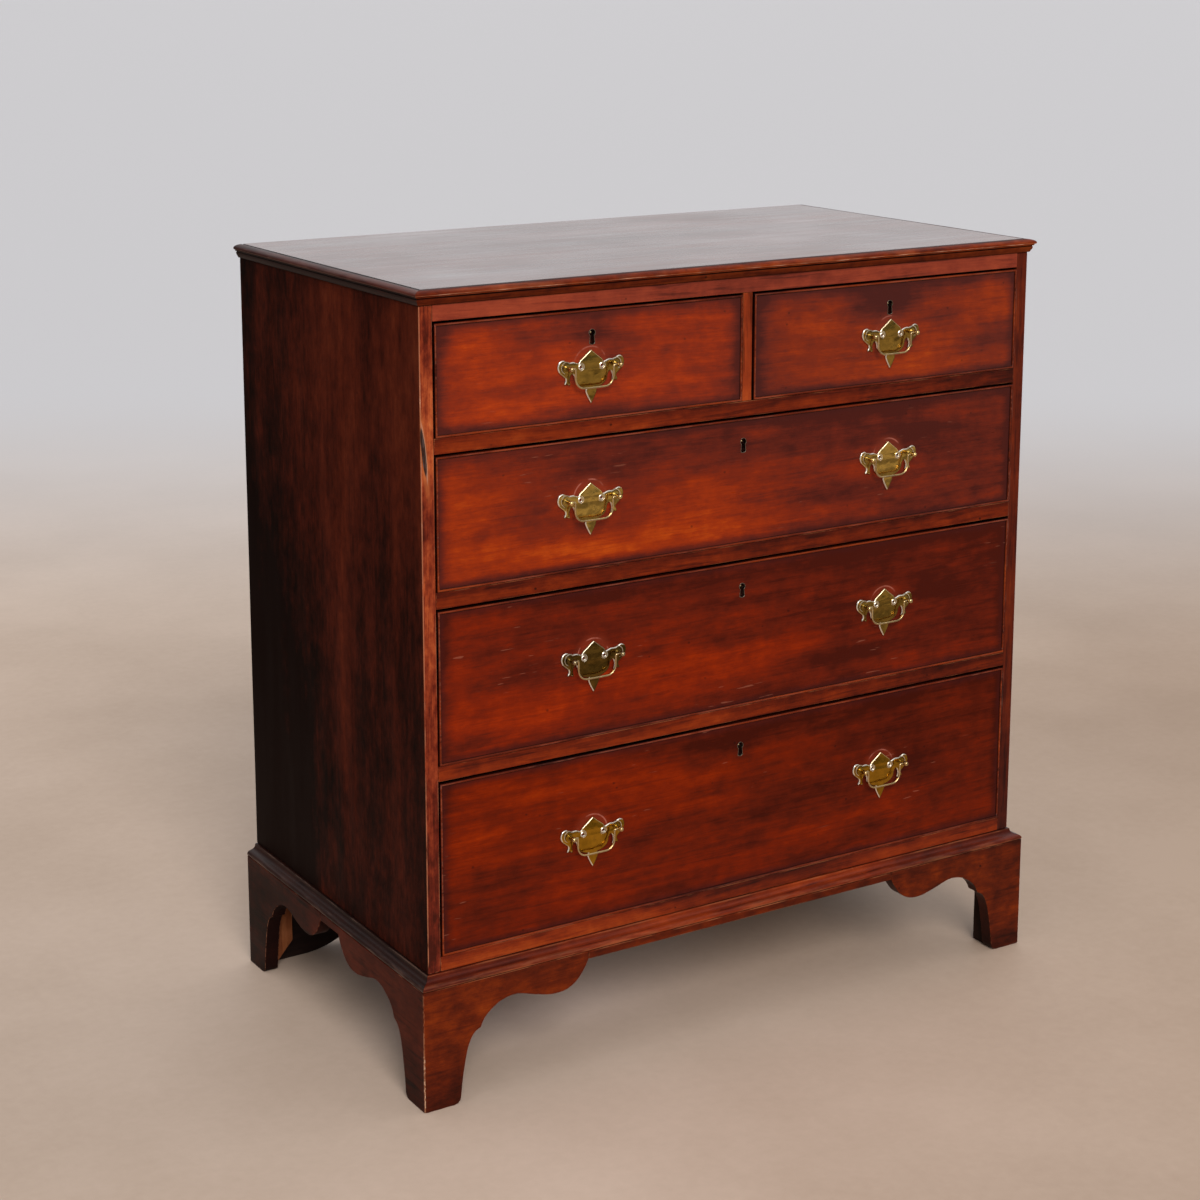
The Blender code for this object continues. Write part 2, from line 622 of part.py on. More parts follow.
def handle(drawer_name, label, hx, hz):
    tag = drawer_name + ("_" + label if label else "")
    y_face = FACE - GAP
    y_axis = FACE - AXIS_OUT
    pts = [(hx + a, hz + b) for a, b in plate_outline()]
    plate = add(tag + "_handle_plate",
                outline_mesh(tag + "_plate", pts, "XZ", y_face - PLATE_T,
                             y_face), BRASS)
    for s in (-1, 1):
        # a turned post, drilled from the inner side for the bail's end
        xp = hx + s * POST
        profile = [(r, -y) for r, y in post_profile()]
        post = turned(tag + "_post", profile, (xp, y_face, hz))
        boolean(plate, hide(add("%s_post_%+d" % (tag, s), post, None,
                                CUTTERS)), "UNION")
        bm = bmesh.new()
        bmesh.ops.create_cone(bm, cap_ends=True, segments=8,
                              radius1=PIN_R + 1.3 * GAP,
                              radius2=PIN_R + 1.3 * GAP, depth=5.0 * MM)
        bmesh.ops.rotate(bm, verts=bm.verts, cent=(0, 0, 0),
                         matrix=Matrix.Rotation(radians(22.5), 3, "Z"))
        bmesh.ops.rotate(bm, verts=bm.verts, cent=(0, 0, 0),
                         matrix=Matrix.Rotation(radians(90), 3, "Y"))
        bmesh.ops.translate(bm, verts=bm.verts,
                            vec=(xp - s * 1.9 * MM, y_axis, hz))
        mesh = bpy.data.meshes.new("eye")
        bm.to_mesh(mesh)
        bm.free()
        boolean(plate, hide(add("%s_eye_%+d" % (tag, s), mesh, None,
                                CUTTERS)))

    # bail: a bent rod whose turned-out ends are its two pivots
    path = [(POST - 0.2 * MM, 0.0), (BAIL_ARM + 2.4 * MM, 0.0)]
    for i in range(1, 4):
        t = radians(30 * i)
        path.append((BAIL_ARM + 2.0 * MM * (1 - sin(t)),
                     -2.0 * MM * (1 - cos(t))))
    r = 12.5 * MM
    for i in range(6):
        t = radians(-18 * i)
        path.append((BAIL_ARM - r + r * cos(t), -BAIL_DROP + r + r * sin(t)))
    path = path + [(-a, b) for a, b in reversed(path)]
    curve = bpy.data.curves.new(tag + "_bail", "CURVE")
    curve.dimensions = "3D"
    curve.bevel_depth = BAIL_R
    curve.bevel_resolution = 1
    curve.use_fill_caps = True
    spline = curve.splines.new("POLY")
    spline.points.add(len(path) - 1)
    for i, (p, (a, b)) in enumerate(zip(spline.points, path)):
        p.co = (a, 0.0, b, 1.0)
        p.radius = PIN_R / BAIL_R if abs(b) < 1e-9 else 1.0
    curve.materials.append(BRASS)
    bail = bpy.data.objects.new(tag + "_bail", curve)
    PARTS.objects.link(bail)
    bail.location = (hx, y_axis, hz)
    return plate


def at(x_mm):
    """Place along the front, measured from the case's left edge."""
    return XL + x_mm * MM


# tier, left and right edge, keyhole (x or None for the middle, z), handles
drawer(1, at(19.7), at(458.0), 3, (at(235.8), 945.4 * MM),
       [("", at(233.3), 905.5 * MM)])
drawer(2, at(476.2), at(911.3), 3, (at(694.2), 944.6 * MM),
       [("", at(695.5), 905.0 * MM)])
LONG = (at(19.6), at(911.2))
for number, tier, xk, zk, xh, zh in (
        (3, 2, 461.8, 786.0, 232.5, 741.0),
        (4, 1, 462.8, 595.4, 237.0, 539.5),
        (5, 0, 463.0, 381.1, 235.5, 309.5)):
    drawer(number, LONG[0], LONG[1], tier, (at(xk), zk * MM),
           [("left", at(xh), zh * MM), ("right", at(696.0), zh * MM)])

# round pieces are shaded smooth
for ob in PARTS.objects:
    if ob.type == "MESH" and ob.name.endswith("_handle_plate"):
        ob.data.shade_smooth()
        ob.data.set_sharp_from_angle(angle=radians(35))
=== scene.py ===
"""Looks of a mahogany chest of drawers: visible pieces, finishes, floor, light.

Metres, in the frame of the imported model: X to the right, Y to the back, Z up.
"""
from math import radians, sin, cos, pi
import bpy
import bmesh
from mathutils import Matrix, Vector, noise


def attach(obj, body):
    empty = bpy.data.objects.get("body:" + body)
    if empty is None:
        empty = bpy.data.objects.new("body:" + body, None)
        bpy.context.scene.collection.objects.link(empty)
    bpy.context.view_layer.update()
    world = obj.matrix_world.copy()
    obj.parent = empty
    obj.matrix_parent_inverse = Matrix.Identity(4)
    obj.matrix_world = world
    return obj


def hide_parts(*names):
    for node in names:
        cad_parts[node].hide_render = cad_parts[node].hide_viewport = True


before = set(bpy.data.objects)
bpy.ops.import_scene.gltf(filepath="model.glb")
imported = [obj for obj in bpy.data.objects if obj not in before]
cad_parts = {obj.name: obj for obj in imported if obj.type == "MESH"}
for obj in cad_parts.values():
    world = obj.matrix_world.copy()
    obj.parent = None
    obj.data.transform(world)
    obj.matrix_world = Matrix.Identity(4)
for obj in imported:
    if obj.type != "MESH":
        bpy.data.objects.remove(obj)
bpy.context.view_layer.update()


# ------------------------------------------------------------------ sizes --
MM = 0.001
W, D, H, P = 0.930, 0.5105, 1.015, 0.0153
OUT = 0.0164
XL, XR = -W / 2, W / 2
YF = (OUT - D) / 2
YB = YF + D
SIDE_T = 17.7 * MM
Z_BRACKET, Z_CASE, Z_CASE_TOP = 0.1575, 0.1725, 0.997
BACK_T = 10.0 * MM
TIERS = [(191.5 * MM, 416.3 * MM), (435.3 * MM, 631.2 * MM),
         (651.7 * MM, 818.8 * MM), (838.2 * MM, 977.0 * MM)]
TOP_GAP = [3.3 * MM, 3.2 * MM, 2.7 * MM, 2.6 * MM]
GAP = 0.3 * MM
PART_X0, PART_X1 = XL + 459.0 * MM, XL + 473.0 * MM
RAIL_D = 62.0 * MM
NOSE = 8.6 * MM
STRIP_IN = 4.0 * MM
FACE = YF + 0.5 * MM
BEAD_OUT, BEAD_T = 1.8 * MM, 3.0 * MM
FRONT_T = 19.5 * MM
POST, AXIS_OUT = 34.9 * MM, 10.2 * MM
BALL_R = 3.3 * MM
BALL_OUT = OUT + (FACE - YF) - BALL_R
BAIL_ARM, BAIL_DROP = 27.0 * MM, 25.3 * MM

ZERO = Vector((0.0, 0.0, 0.0))


def wobble(v, scale, seed=0.0):
    """Smooth noise between about -1 and 1."""
    return noise.noise(Vector((v[0] * scale + seed, v[1] * scale - seed * 1.7,
                               v[2] * scale + seed * 0.6)))


# ------------------------------------------------------------- node graphs --
class Graph:
    """A material's node tree, built from short calls."""

    def __init__(self, name):
        self.mat = bpy.data.materials.new(name)
        self.mat.use_nodes = True
        self.nodes = self.mat.node_tree.nodes
        self.links = self.mat.node_tree.links
        self.bsdf = self.nodes["Principled BSDF"]
        coord = self.nodes.new("ShaderNodeTexCoord")
        self.place = coord.outputs["Object"]
        split = self.nodes.new("ShaderNodeSeparateXYZ")
        self.links.new(self.place, split.inputs[0])
        self.x, self.y, self.z = split.outputs

    def put(self, socket, value):
        if isinstance(value, bpy.types.NodeSocket):
            self.links.new(value, socket)
        elif isinstance(value, (tuple, list)) and len(value) == 3 \
                and socket.type == "RGBA":
            socket.default_value = (*value, 1.0)
        else:
            socket.default_value = value

    def math(self, op, a, b=0.0, c=0.0, clamp=False):
        n = self.nodes.new("ShaderNodeMath")
        n.operation = op
        n.use_clamp = clamp
        for s, v in zip(n.inputs, (a, b, c)):
            self.put(s, v)
        return n.outputs[0]

    def add(self, a, b):
        return self.math("ADD", a, b)

    def sub(self, a, b):
        return self.math("SUBTRACT", a, b)

    def mul(self, a, b):
        return self.math("MULTIPLY", a, b)

    def step(self, v, lo, hi, out0=0.0, out1=1.0):
        n = self.nodes.new("ShaderNodeMapRange")
        n.interpolation_type = "SMOOTHSTEP"
        for s, val in zip(n.inputs, (v, lo, hi, out0, out1)):
            self.put(s, val)
        return n.outputs[0]

    def stretch(self, vec, scale, loc=(0, 0, 0), rot=(0, 0, 0)):
        n = self.nodes.new("ShaderNodeMapping")
        self.put(n.inputs["Vector"], vec)
        n.inputs["Location"].default_value = loc
        n.inputs["Rotation"].default_value = rot
        n.inputs["Scale"].default_value = scale
        return n.outputs[0]

    def noise(self, vec, scale=1.0, detail=3.0, rough=0.5, distort=0.0):
        n = self.nodes.new("ShaderNodeTexNoise")
        self.put(n.inputs["Vector"], vec)
        n.inputs["Scale"].default_value = scale
        n.inputs["Detail"].default_value = detail
        n.inputs["Roughness"].default_value = rough
        n.inputs["Distortion"].default_value = distort
        return n.outputs["Fac"]

    def cells(self, vec, scale=1.0, feature="F1", smooth=None):
        n = self.nodes.new("ShaderNodeTexVoronoi")
        n.feature = feature
        self.put(n.inputs["Vector"], vec)
        n.inputs["Scale"].default_value = scale
        return n.outputs["Distance"]

    def ramp(self, fac, stops, mode="LINEAR"):
        n = self.nodes.new("ShaderNodeValToRGB")
        n.color_ramp.interpolation = mode
        el = n.color_ramp.elements
        while len(el) < len(stops):
            el.new(0.5)
        for e, (pos, col) in zip(el, stops):
            e.position = pos
            e.color = (*col, 1.0)
        self.put(n.inputs["Fac"], fac)
        return n.outputs["Color"]

    def mix(self, fac, a, b, blend="MIX"):
        n = self.nodes.new("ShaderNodeMix")
        n.data_type = "RGBA"
        n.blend_type = blend
        n.clamp_factor = True
        self.put(n.inputs[0], fac)
        self.put(n.inputs[6], a)
        self.put(n.inputs[7], b)
        return n.outputs[2]

    def attribute(self, name):
        n = self.nodes.new("ShaderNodeAttribute")
        n.attribute_name = name
        return n.outputs["Fac"]

    def bump(self, height, distance, strength=1.0, after=None):
        n = self.nodes.new("ShaderNodeBump")
        n.inputs["Distance"].default_value = distance
        n.inputs["Strength"].default_value = strength
        self.put(n.inputs["Height"], height)
        if after is not None:
            self.links.new(after, n.inputs["Normal"])
        return n.outputs["Normal"]

    def surface(self, color, rough, normal=None, metallic=0.0, specular=None,
                coat=None, coat_rough=None):
        self.put(self.bsdf.inputs["Base Color"], color)
        self.put(self.bsdf.inputs["Roughness"], rough)
        self.bsdf.inputs["Metallic"].default_value = metallic
        if specular is not None:
            self.bsdf.inputs["Specular IOR Level"].default_value = specular
        if coat is not None:
            self.bsdf.inputs["Coat Weight"].default_value = coat
            self.bsdf.inputs["Coat Roughness"].default_value = coat_rough
        if normal is not None:
            self.links.new(normal, self.bsdf.inputs["Normal"])
        return self.mat


def grain_vector(g, grain, seed):
    """(along, across, across), gently wandering so the grain isn't ruled."""
    order = {"X": (g.x, g.z, g.y), "Y": (g.y, g.x, g.z),
             "Z": (g.z, g.y, g.x)}[grain]
    c = g.nodes.new("ShaderNodeCombineXYZ")
    for s, v in zip(c.inputs, order):
        g.put(s, v)
    base = g.stretch(c.outputs[0], (1, 1, 1),
                     (seed * 3.17, seed * 1.31, seed * 0.73))
    lean = g.noise(g.stretch(base, (1.3, 4.0, 4.0)), detail=1.0)
    shift = g.mul(g.sub(lean, 0.5), 0.030)
    c2 = g.nodes.new("ShaderNodeCombineXYZ")
    g.put(c2.inputs[1], shift)
    v = g.nodes.new("ShaderNodeVectorMath")
    v.operation = "ADD"
    g.links.new(base, v.inputs[0])
    g.links.new(c2.outputs[0], v.inputs[1])
    return v.outputs[0]


def wood(name, grain, tones, seed, rough=0.30, contrast=1.0, specular=0.26,
         extra=None, wear_color=(0.30, 0.10, 0.035), wear_amount=0.6,
         grime_and_shade=(0.010, 0.0035, 0.003), coat=None, coat_rough=None,
         pores=0.40, bump=1.0, specks=0.5, mottle=0.40, flecks=0.20,
         blotch=0.0, spark=None, streaks=0.75, lump_scale=34.0):
    """Polished old hardwood.  tones run from the darkest to the lightest."""
    g = Graph(name)
    vec = grain_vector(g, grain, seed)
    broad = g.noise(g.stretch(vec, (2.4, 12.0, 12.0)), detail=3.0,
                    distort=0.35)
    streak = g.noise(g.stretch(vec, (4.5, 56.0, 56.0)), detail=4.0,
                     rough=0.62)
    cloud = g.noise(g.stretch(vec, (42.0, 95.0, 95.0)), detail=4.0,
                    rough=0.66)
    dash = g.noise(g.stretch(vec, (11.0, 150.0, 150.0)), detail=2.0,
                   rough=0.55)
    fine = g.noise(g.stretch(vec, (16.0, 520.0, 520.0)), detail=2.0,
                   rough=0.6)
    roe = g.noise(g.stretch(vec, (26.0, 5.0, 5.0)), detail=2.0, rough=0.5)
    mixed = g.add(g.add(g.mul(g.sub(broad, 0.5), 1.30 * contrast),
                        g.mul(g.sub(streak, 0.5), streaks * contrast)),
                  g.add(g.mul(g.sub(fine, 0.5), 0.40 * contrast),
                        g.mul(g.sub(roe, 0.5), 0.28 * contrast)))
    mixed = g.add(mixed, g.mul(g.sub(cloud, 0.5), mottle))
    mixed = g.sub(mixed, g.mul(g.step(dash, 0.56, 0.66), flecks))
    if blotch:
        lump = g.noise(g.place, scale=lump_scale, detail=5.0, rough=0.62)
        mixed = g.add(mixed, g.mul(g.sub(lump, 0.5), blotch))
    level = g.math("ADD", mixed, 0.5, clamp=True)
    if extra is not None:
        level = extra(g, level)
    count = len(tones) - 1
    col = g.ramp(level, [(i / count, t) for i, t in enumerate(tones)])
    # open pores: short dark dashes along the grain
    pore = g.noise(g.stretch(vec, (90.0, 1900.0, 1900.0)), detail=1.0,
                   rough=0.5)
    pore = g.step(pore, 0.62, 0.76)
    col = g.mix(g.mul(pore, pores), col, tones[0])
    # small dark knocks and spots
    spot = g.cells(g.stretch(vec, (38.0, 46.0, 46.0)))
    keep = g.noise(vec, scale=21.0, detail=0.0)
    spot = g.mul(g.step(spot, 0.10, 0.04), g.step(keep, 0.52, 0.60))
    col = g.mix(g.mul(spot, specks), col, grime_and_shade)
    # rubbed places, dirt and painted shade, marked on the mesh
    mark = g.attribute("wear_dirt_and_painted_light")
    patch = g.noise(g.stretch(vec, (26.0, 210.0, 210.0)), detail=4.0,
                    rough=0.65)
    slow = g.noise(g.place, scale=9.0, detail=2.0)
    more = g.mul(g.math("MAXIMUM", g.sub(mark, 1.0), 0.0), 0.34)
    rub = g.mul(g.step(g.add(g.add(patch, g.mul(slow, 0.6)), more),
                       0.72, 0.98),
                g.math("MINIMUM", g.math("MAXIMUM", mark, 0.0), 1.0))
    col = g.mix(g.mul(rub, wear_amount), col, wear_color)
    if spark is not None:
        bright = g.mul(g.step(g.add(patch, more), 0.80, 1.02),
                       g.step(mark, 1.0, 1.5))
        col = g.mix(g.mul(bright, 0.8), col, spark)
    # negative marks darken towards the grime colour: real dirt in joints, and painted shade in
    # gaps, hollows and the keyhole
    dirt_and_shade = g.mul(g.math("MAXIMUM", g.mul(mark, -1.0), 0.0),
                 g.step(slow, 0.2, 0.7, 0.7, 1.0))
    col = g.mix(dirt_and_shade, col, grime_and_shade)
    r = g.add(g.mul(g.sub(streak, 0.5), 0.18), rough)
    r = g.add(r, g.mul(g.sub(g.noise(g.place, scale=7.0, detail=5.0), 0.5),
                       0.22))
    r = g.math("ADD", r, g.mul(g.math("MINIMUM", g.math("MAXIMUM", mark,
                                                        0.0), 1.0), 0.08),
               clamp=True)
    height = g.sub(g.mul(fine, 0.5), g.mul(pore, 0.35))
    normal = g.bump(height, 0.00005 * bump)
    swell = g.noise(g.stretch(vec, (5.0, 16.0, 16.0)), detail=1.0)
    normal = g.bump(swell, 0.0011 * bump, after=normal)
    return g.surface(col, r, normal, specular=specular, coat=coat,
                     coat_rough=coat_rough)


MAHOG = [(0.062, 0.0094, 0.0086), (0.118, 0.0156, 0.0098),
         (0.195, 0.0210, 0.0060), (0.300, 0.0330, 0.0034),
         (0.440, 0.0680, 0.0044)]
DEEP = [(0.0090, 0.0028, 0.0020), (0.0240, 0.0050, 0.0028),
        (0.0460, 0.0080, 0.0040), (0.0760, 0.0125, 0.0055),
        (0.1150, 0.0210, 0.0085)]
# the sides' tones are far darker than the fronts': partly the wood's own colour, partly painted
# shade for faces turned from the light
SIDE = [(0.0066, 0.0018, 0.0012), (0.0250, 0.0046, 0.0025),
        (0.0600, 0.0096, 0.0045), (0.0990, 0.0160, 0.0066),
        (0.1420, 0.0260, 0.0098)]
RAIL = [(0.036, 0.0070, 0.0046), (0.100, 0.0160, 0.0092),
        (0.185, 0.0300, 0.0150), (0.265, 0.0480, 0.0210),
        (0.360, 0.0800, 0.0280)]
LOW_RAIL = [(0.027, 0.0042, 0.0026), (0.070, 0.0088, 0.0032),
            (0.138, 0.0170, 0.0038), (0.225, 0.0310, 0.0046),
            (0.320, 0.0580, 0.0085)]
STILE = [(0.050, 0.0070, 0.0034), (0.130, 0.0155, 0.0066),
         (0.270, 0.0410, 0.0132), (0.455, 0.0920, 0.0260),
         (0.600, 0.1640, 0.0480)]
FOOT = [(0.021, 0.0042, 0.0022), (0.053, 0.0076, 0.0030),
        (0.106, 0.0132, 0.0030), (0.184, 0.0246, 0.0032),
        (0.290, 0.0500, 0.0052)]
TOPW = [(0.050, 0.015, 0.010), (0.095, 0.028, 0.018),
        (0.140, 0.044, 0.029), (0.190, 0.064, 0.042),
        (0.250, 0.095, 0.065)]
BLACKISH = [(0.0030, 0.0018, 0.0016), (0.0070, 0.0034, 0.0028),
            (0.0130, 0.0056, 0.0042), (0.0220, 0.0090, 0.0062),
            (0.0360, 0.0150, 0.0100)]
BLOCKT = [(0.050, 0.0140, 0.0060), (0.110, 0.0300, 0.0100),
          (0.185, 0.0560, 0.0190), (0.260, 0.0900, 0.0330),
          (0.350, 0.1450, 0.0600)]
OAKT = [(0.100, 0.050, 0.022), (0.180, 0.098, 0.045),
        (0.260, 0.150, 0.072), (0.330, 0.205, 0.105),
        (0.420, 0.280, 0.155)]
PINET = [(0.070, 0.030, 0.013), (0.130, 0.062, 0.027),
         (0.200, 0.100, 0.043), (0.270, 0.145, 0.066),
         (0.350, 0.205, 0.100)]


def tinted(tones, r, g, b):
    """The same run of tones, a little redder, browner or darker."""
    return [(t[0] * r, t[1] * g, t[2] * b) for t in tones]


def soft_patches(patches):
    """Lightens or darkens the wood in broad soft places on a front."""
    def shade(g, level):
        for cx, cz, rx, rz, amount in patches:
            dx = g.math("DIVIDE", g.sub(g.x, XL + cx * MM), rx * MM)
            dz = g.math("DIVIDE", g.sub(g.z, cz * MM), rz * MM)
            r2 = g.add(g.mul(dx, dx), g.mul(dz, dz))
            fall = g.math("EXPONENT", g.mul(r2, -1.0))
            level = g.add(level, g.mul(fall, amount))
        return level
    return shade


def front_wood(name, seed, x0, x1, z0, z1, patches, rings, gloss,
               tones=MAHOG):
    """A drawer front: dark soft margins inside its bead, and the print that
    an earlier knob left round each handle."""
    def shade(g, level):
        level = soft_patches(patches)(g, level)
        drift = g.stretch(g.place, (8.0, 30.0, 30.0), (seed, 0.6 * seed, 0))
        drift = g.noise(drift, detail=4.0, rough=0.58, distort=0.5)
        level = g.add(level, g.mul(g.sub(drift, 0.5), 0.70))
        wav = g.mul(g.sub(g.noise(g.place, scale=19.0, detail=4.0,
                                  rough=0.6), 0.5), 0.022)
        left = g.sub(g.x, x0)
        right = g.sub(x1, g.x)
        low = g.sub(g.z, z0)
        high = g.sub(z1, g.z)
        for d, reach, amount in ((left, 0.021, 0.36), (right, 0.018, 0.36),
                                 (low, 0.011, 0.36), (high, 0.022, 0.28)):
            edge = g.step(g.add(d, wav), -0.002, reach, 1.0, 0.0)
            level = g.sub(level, g.mul(edge, amount))
        return level

    m = wood(name, "X", tones, seed, extra=shade, contrast=0.72,
             specular=gloss, blotch=0.34, flecks=0.10, mottle=0.52,
             streaks=0.82, lump_scale=46.0)
    g = Graph.__new__(Graph)
    g.mat, g.nodes, g.links = m, m.node_tree.nodes, m.node_tree.links
    g.bsdf = g.nodes["Principled BSDF"]
    place = [n for n in g.nodes if n.bl_idname == "ShaderNodeTexCoord"][0]
    split = [n for n in g.nodes if n.bl_idname == "ShaderNodeSeparateXYZ"][0]
    g.place = place.outputs["Object"]
    g.x, g.y, g.z = split.outputs
    col = g.bsdf.inputs["Base Color"].links[0].from_socket
    # a bluish-black bloom right beside the bead
    nearest = g.math("MINIMUM", g.math("MINIMUM", g.sub(g.x, x0),
                                       g.sub(x1, g.x)),
                     g.math("MINIMUM", g.sub(g.z, z0), g.sub(z1, g.z)))
    wav = g.mul(g.sub(g.noise(g.place, scale=48.0, detail=3.0), 0.5), 0.010)
    bloom = g.step(g.add(nearest, wav), -0.002, 0.0105, 1.0, 0.0)
    col = g.mix(g.mul(bloom, 0.60), col, (0.050, 0.0085, 0.0078))
    line = g.step(nearest, 0.0001, 0.0011, 1.0, 0.0)
    col = g.mix(g.mul(line, 0.8), col, (0.010, 0.0030, 0.0026))
    for cx, cz, radius, strength in rings:
        dx = g.sub(g.x, cx)
        dz = g.sub(g.z, cz)
        dist = g.math("SQRT", g.add(g.mul(dx, dx), g.mul(dz, dz)))
        broken = g.step(g.noise(g.place, scale=70.0, detail=2.0), 0.40, 0.62)
        line = g.mul(g.step(g.math("ABSOLUTE", g.sub(dist, radius)),
                            0.0013, 0.0004), broken)
        col = g.mix(g.mul(line, 0.75 * strength), col,
                    (0.48, 0.17, 0.125))
        halo = g.mul(g.step(dist, radius + 0.010, radius - 0.004),
                     g.step(g.z, cz - 0.016, cz + 0.006))
        col = g.mix(g.mul(halo, 0.34 * strength), col, (0.30, 0.045, 0.018))
    # a few faint scratches
    hair = g.noise(g.stretch(g.place, (30.0, 30.0, 330.0), rot=(0, 0.35, 0)),
                   detail=1.0)
    few = g.noise(g.place, scale=9.5, detail=1.0)
    hair = g.mul(g.step(hair, 0.73, 0.77), g.step(few, 0.55, 0.64))
    col = g.mix(g.mul(hair, 0.30), col, (0.42, 0.15, 0.09))
    g.links.new(col, g.bsdf.inputs["Base Color"])
    return m


def brass(name, seed, rough=0.21, base=(0.62, 0.40, 0.115),
          dark=(0.080, 0.046, 0.014), pale=(0.90, 0.78, 0.56)):
    g = Graph(name)
    vec = g.stretch(g.place, (1, 1, 1), (seed, seed * 0.7, -seed))
    cloud = g.noise(vec, scale=60.0, detail=4.0, rough=0.6)
    fine = g.noise(vec, scale=520.0, detail=3.0, rough=0.6)
    col = g.ramp(cloud, [(0.25, tuple(c * 0.62 for c in base)),
                         (0.55, base),
                         (0.80, tuple(min(1.0, c * 1.25) for c in base))])
    tarnish = g.step(g.add(cloud, g.mul(fine, 0.25)), 0.70, 0.86)
    col = g.mix(g.mul(tarnish, 0.5), col, dark)
    # the marks on the brass paint light: below zero they paint shade in the dark colour (which
    # also serves for tarnish), above zero painted highlights towards pale, above one near-white
    # painted glints
    mark = g.attribute("wear_dirt_and_painted_light")
    low = g.math("MAXIMUM", g.mul(mark, -1.0), 0.0)
    col = g.mix(low, col, dark)
    high = g.math("MINIMUM", g.math("MAXIMUM", mark, 0.0), 1.0)
    col = g.mix(g.mul(high, 0.45), col, pale)
    painted_glint = g.step(mark, 1.0, 2.0)
    col = g.mix(g.mul(painted_glint, 0.85), col, (0.98, 0.94, 0.86))
    r = g.add(g.mul(g.sub(cloud, 0.5), 0.20), rough)
    r = g.math("ADD", r, g.add(g.add(g.mul(tarnish, 0.15),
                                     g.mul(low, 0.25)),
                               g.mul(high, 0.16)), clamp=True)
    swell = g.noise(vec, scale=58.0, detail=1.5)
    normal = g.bump(swell, 0.0017)
    normal = g.bump(fine, 0.00006, after=normal)
    return g.surface(col, r, normal, metallic=1.0)


def iron(name):
    g = Graph(name)
    n = g.noise(g.place, scale=240.0, detail=5.0, rough=0.65)
    col = g.ramp(n, [(0.3, (0.010, 0.008, 0.007)), (0.55, (0.028, 0.021, 0.017)),
                     (0.8, (0.075, 0.045, 0.028))])
    return g.surface(col, g.step(n, 0.3, 0.8, 0.42, 0.75),
                     g.bump(n, 0.0002), metallic=0.75)


# ----------------------------------------------------------- mesh helpers --
# per-face marks: real wear and dirt, and also painted highlights and painted shade
def wear_dirt_and_light_layer(bm):
    return bm.faces.layers.float.get("wear_dirt_and_painted_light") or \
        bm.faces.layers.float.new("wear_dirt_and_painted_light")


def to_object(name, bm, mat, body, nodes=(), angle=50.0, weighted=True):
    mesh = bpy.data.meshes.new(name)
    bm.to_mesh(mesh)
    bm.free()
    return dress(bpy.data.objects.new(name, mesh), mat, body, nodes,
                 angle, weighted)


def dress(ob, mat, body, nodes=(), angle=50.0, weighted=True):
    """Links, shades, paints and hangs a new piece on its body."""
    if ob.name not in bpy.context.scene.collection.objects:
        bpy.context.scene.collection.objects.link(ob)
    ob.data.materials.clear()
    ob.data.materials.append(mat)
    ob.data.shade_smooth()
    ob.data.set_sharp_from_angle(angle=radians(angle))
    if weighted:
        mod = ob.modifiers.new("weighted", "WEIGHTED_NORMAL")
        mod.keep_sharp = True
        mod.weight = 80
    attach(ob, body)
    if nodes:
        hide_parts(*nodes)
    return ob


def cube(lo, hi):
    bm = bmesh.new()
    bmesh.ops.create_cube(bm, size=1.0)
    lo, hi = Vector(lo), Vector(hi)
    for v in bm.verts:
        v.co = Vector((lo[i] + (v.co[i] + 0.5) * (hi[i] - lo[i])
                       for i in range(3)))
    return bm


def round_edges(bm, r, segments=2, wear_dirt_and_painted_light=1.0, only=None):
    """Rounds the edges, and marks the rounded strips as rubbed."""
    layer = wear_dirt_and_light_layer(bm)
    edges = [e for e in bm.edges if only is None or only(e)]
    out = bmesh.ops.bevel(bm, geom=edges, offset=r, segments=segments,
                          profile=0.5, affect="EDGES", clamp_overlap=True)
    for f in out["faces"]:
        f[layer] = wear_dirt_and_painted_light
    return bm


def slice_up(bm, axis, lo, hi, count):
    """Cuts the mesh across one axis into strips."""
    normal = Vector((1.0 if i == axis else 0.0 for i in range(3)))
    for k in range(1, count):
        at = lo + (hi - lo) * k / count
        bmesh.ops.bisect_plane(bm, geom=bm.verts[:] + bm.edges[:]
                               + bm.faces[:], plane_co=normal * at,
                               plane_no=normal)


def board(name, lo, hi, mat, body, nodes=(), r=0.8 * MM, wear_dirt_and_painted_light=1.0,
          bend=0.0, cuts=(0, 0, 0), seed=0.0, bend_axis=0, painted_gap_shade=False):
    """A planed board with softened edges, and a little out of true."""
    bm = round_edges(cube(lo, hi), r, wear_dirt_and_painted_light=wear_dirt_and_painted_light)
    # painted shade: the flat top and bottom faces and the underside, which look into the gaps
    # round the drawers, are marked to darken
    if painted_gap_shade:
        bm.normal_update()
        layer = wear_dirt_and_light_layer(bm)
        for f in bm.faces:
            if abs(f.normal.z) > 0.94:
                f[layer] = -1.0
            elif f.normal.z < -0.5:
                f[layer] = -0.5
    for axis in range(3):
        if cuts[axis] > 1:
            slice_up(bm, axis, lo[axis], hi[axis], cuts[axis])
    if bend:
        for v in bm.verts:
            v.co[bend_axis] += bend * wobble(v.co, 6.0, seed)
    return to_object(name, bm, mat, body, nodes)


def applied(ob, cutters, operation="DIFFERENCE"):
    """The object's mesh after the cutters, which stay as they are."""
    for c in cutters:
        mod = ob.modifiers.new("cut", "BOOLEAN")
        mod.operation = operation
        mod.solver = "EXACT"
        mod.object = c
    bpy.context.view_layer.update()
    deps = bpy.context.evaluated_depsgraph_get()
    mesh = bpy.data.meshes.new_from_object(ob.evaluated_get(deps))
    ob.modifiers.clear()
    old = ob.data
    ob.data = mesh
    bpy.data.meshes.remove(old)
    return ob


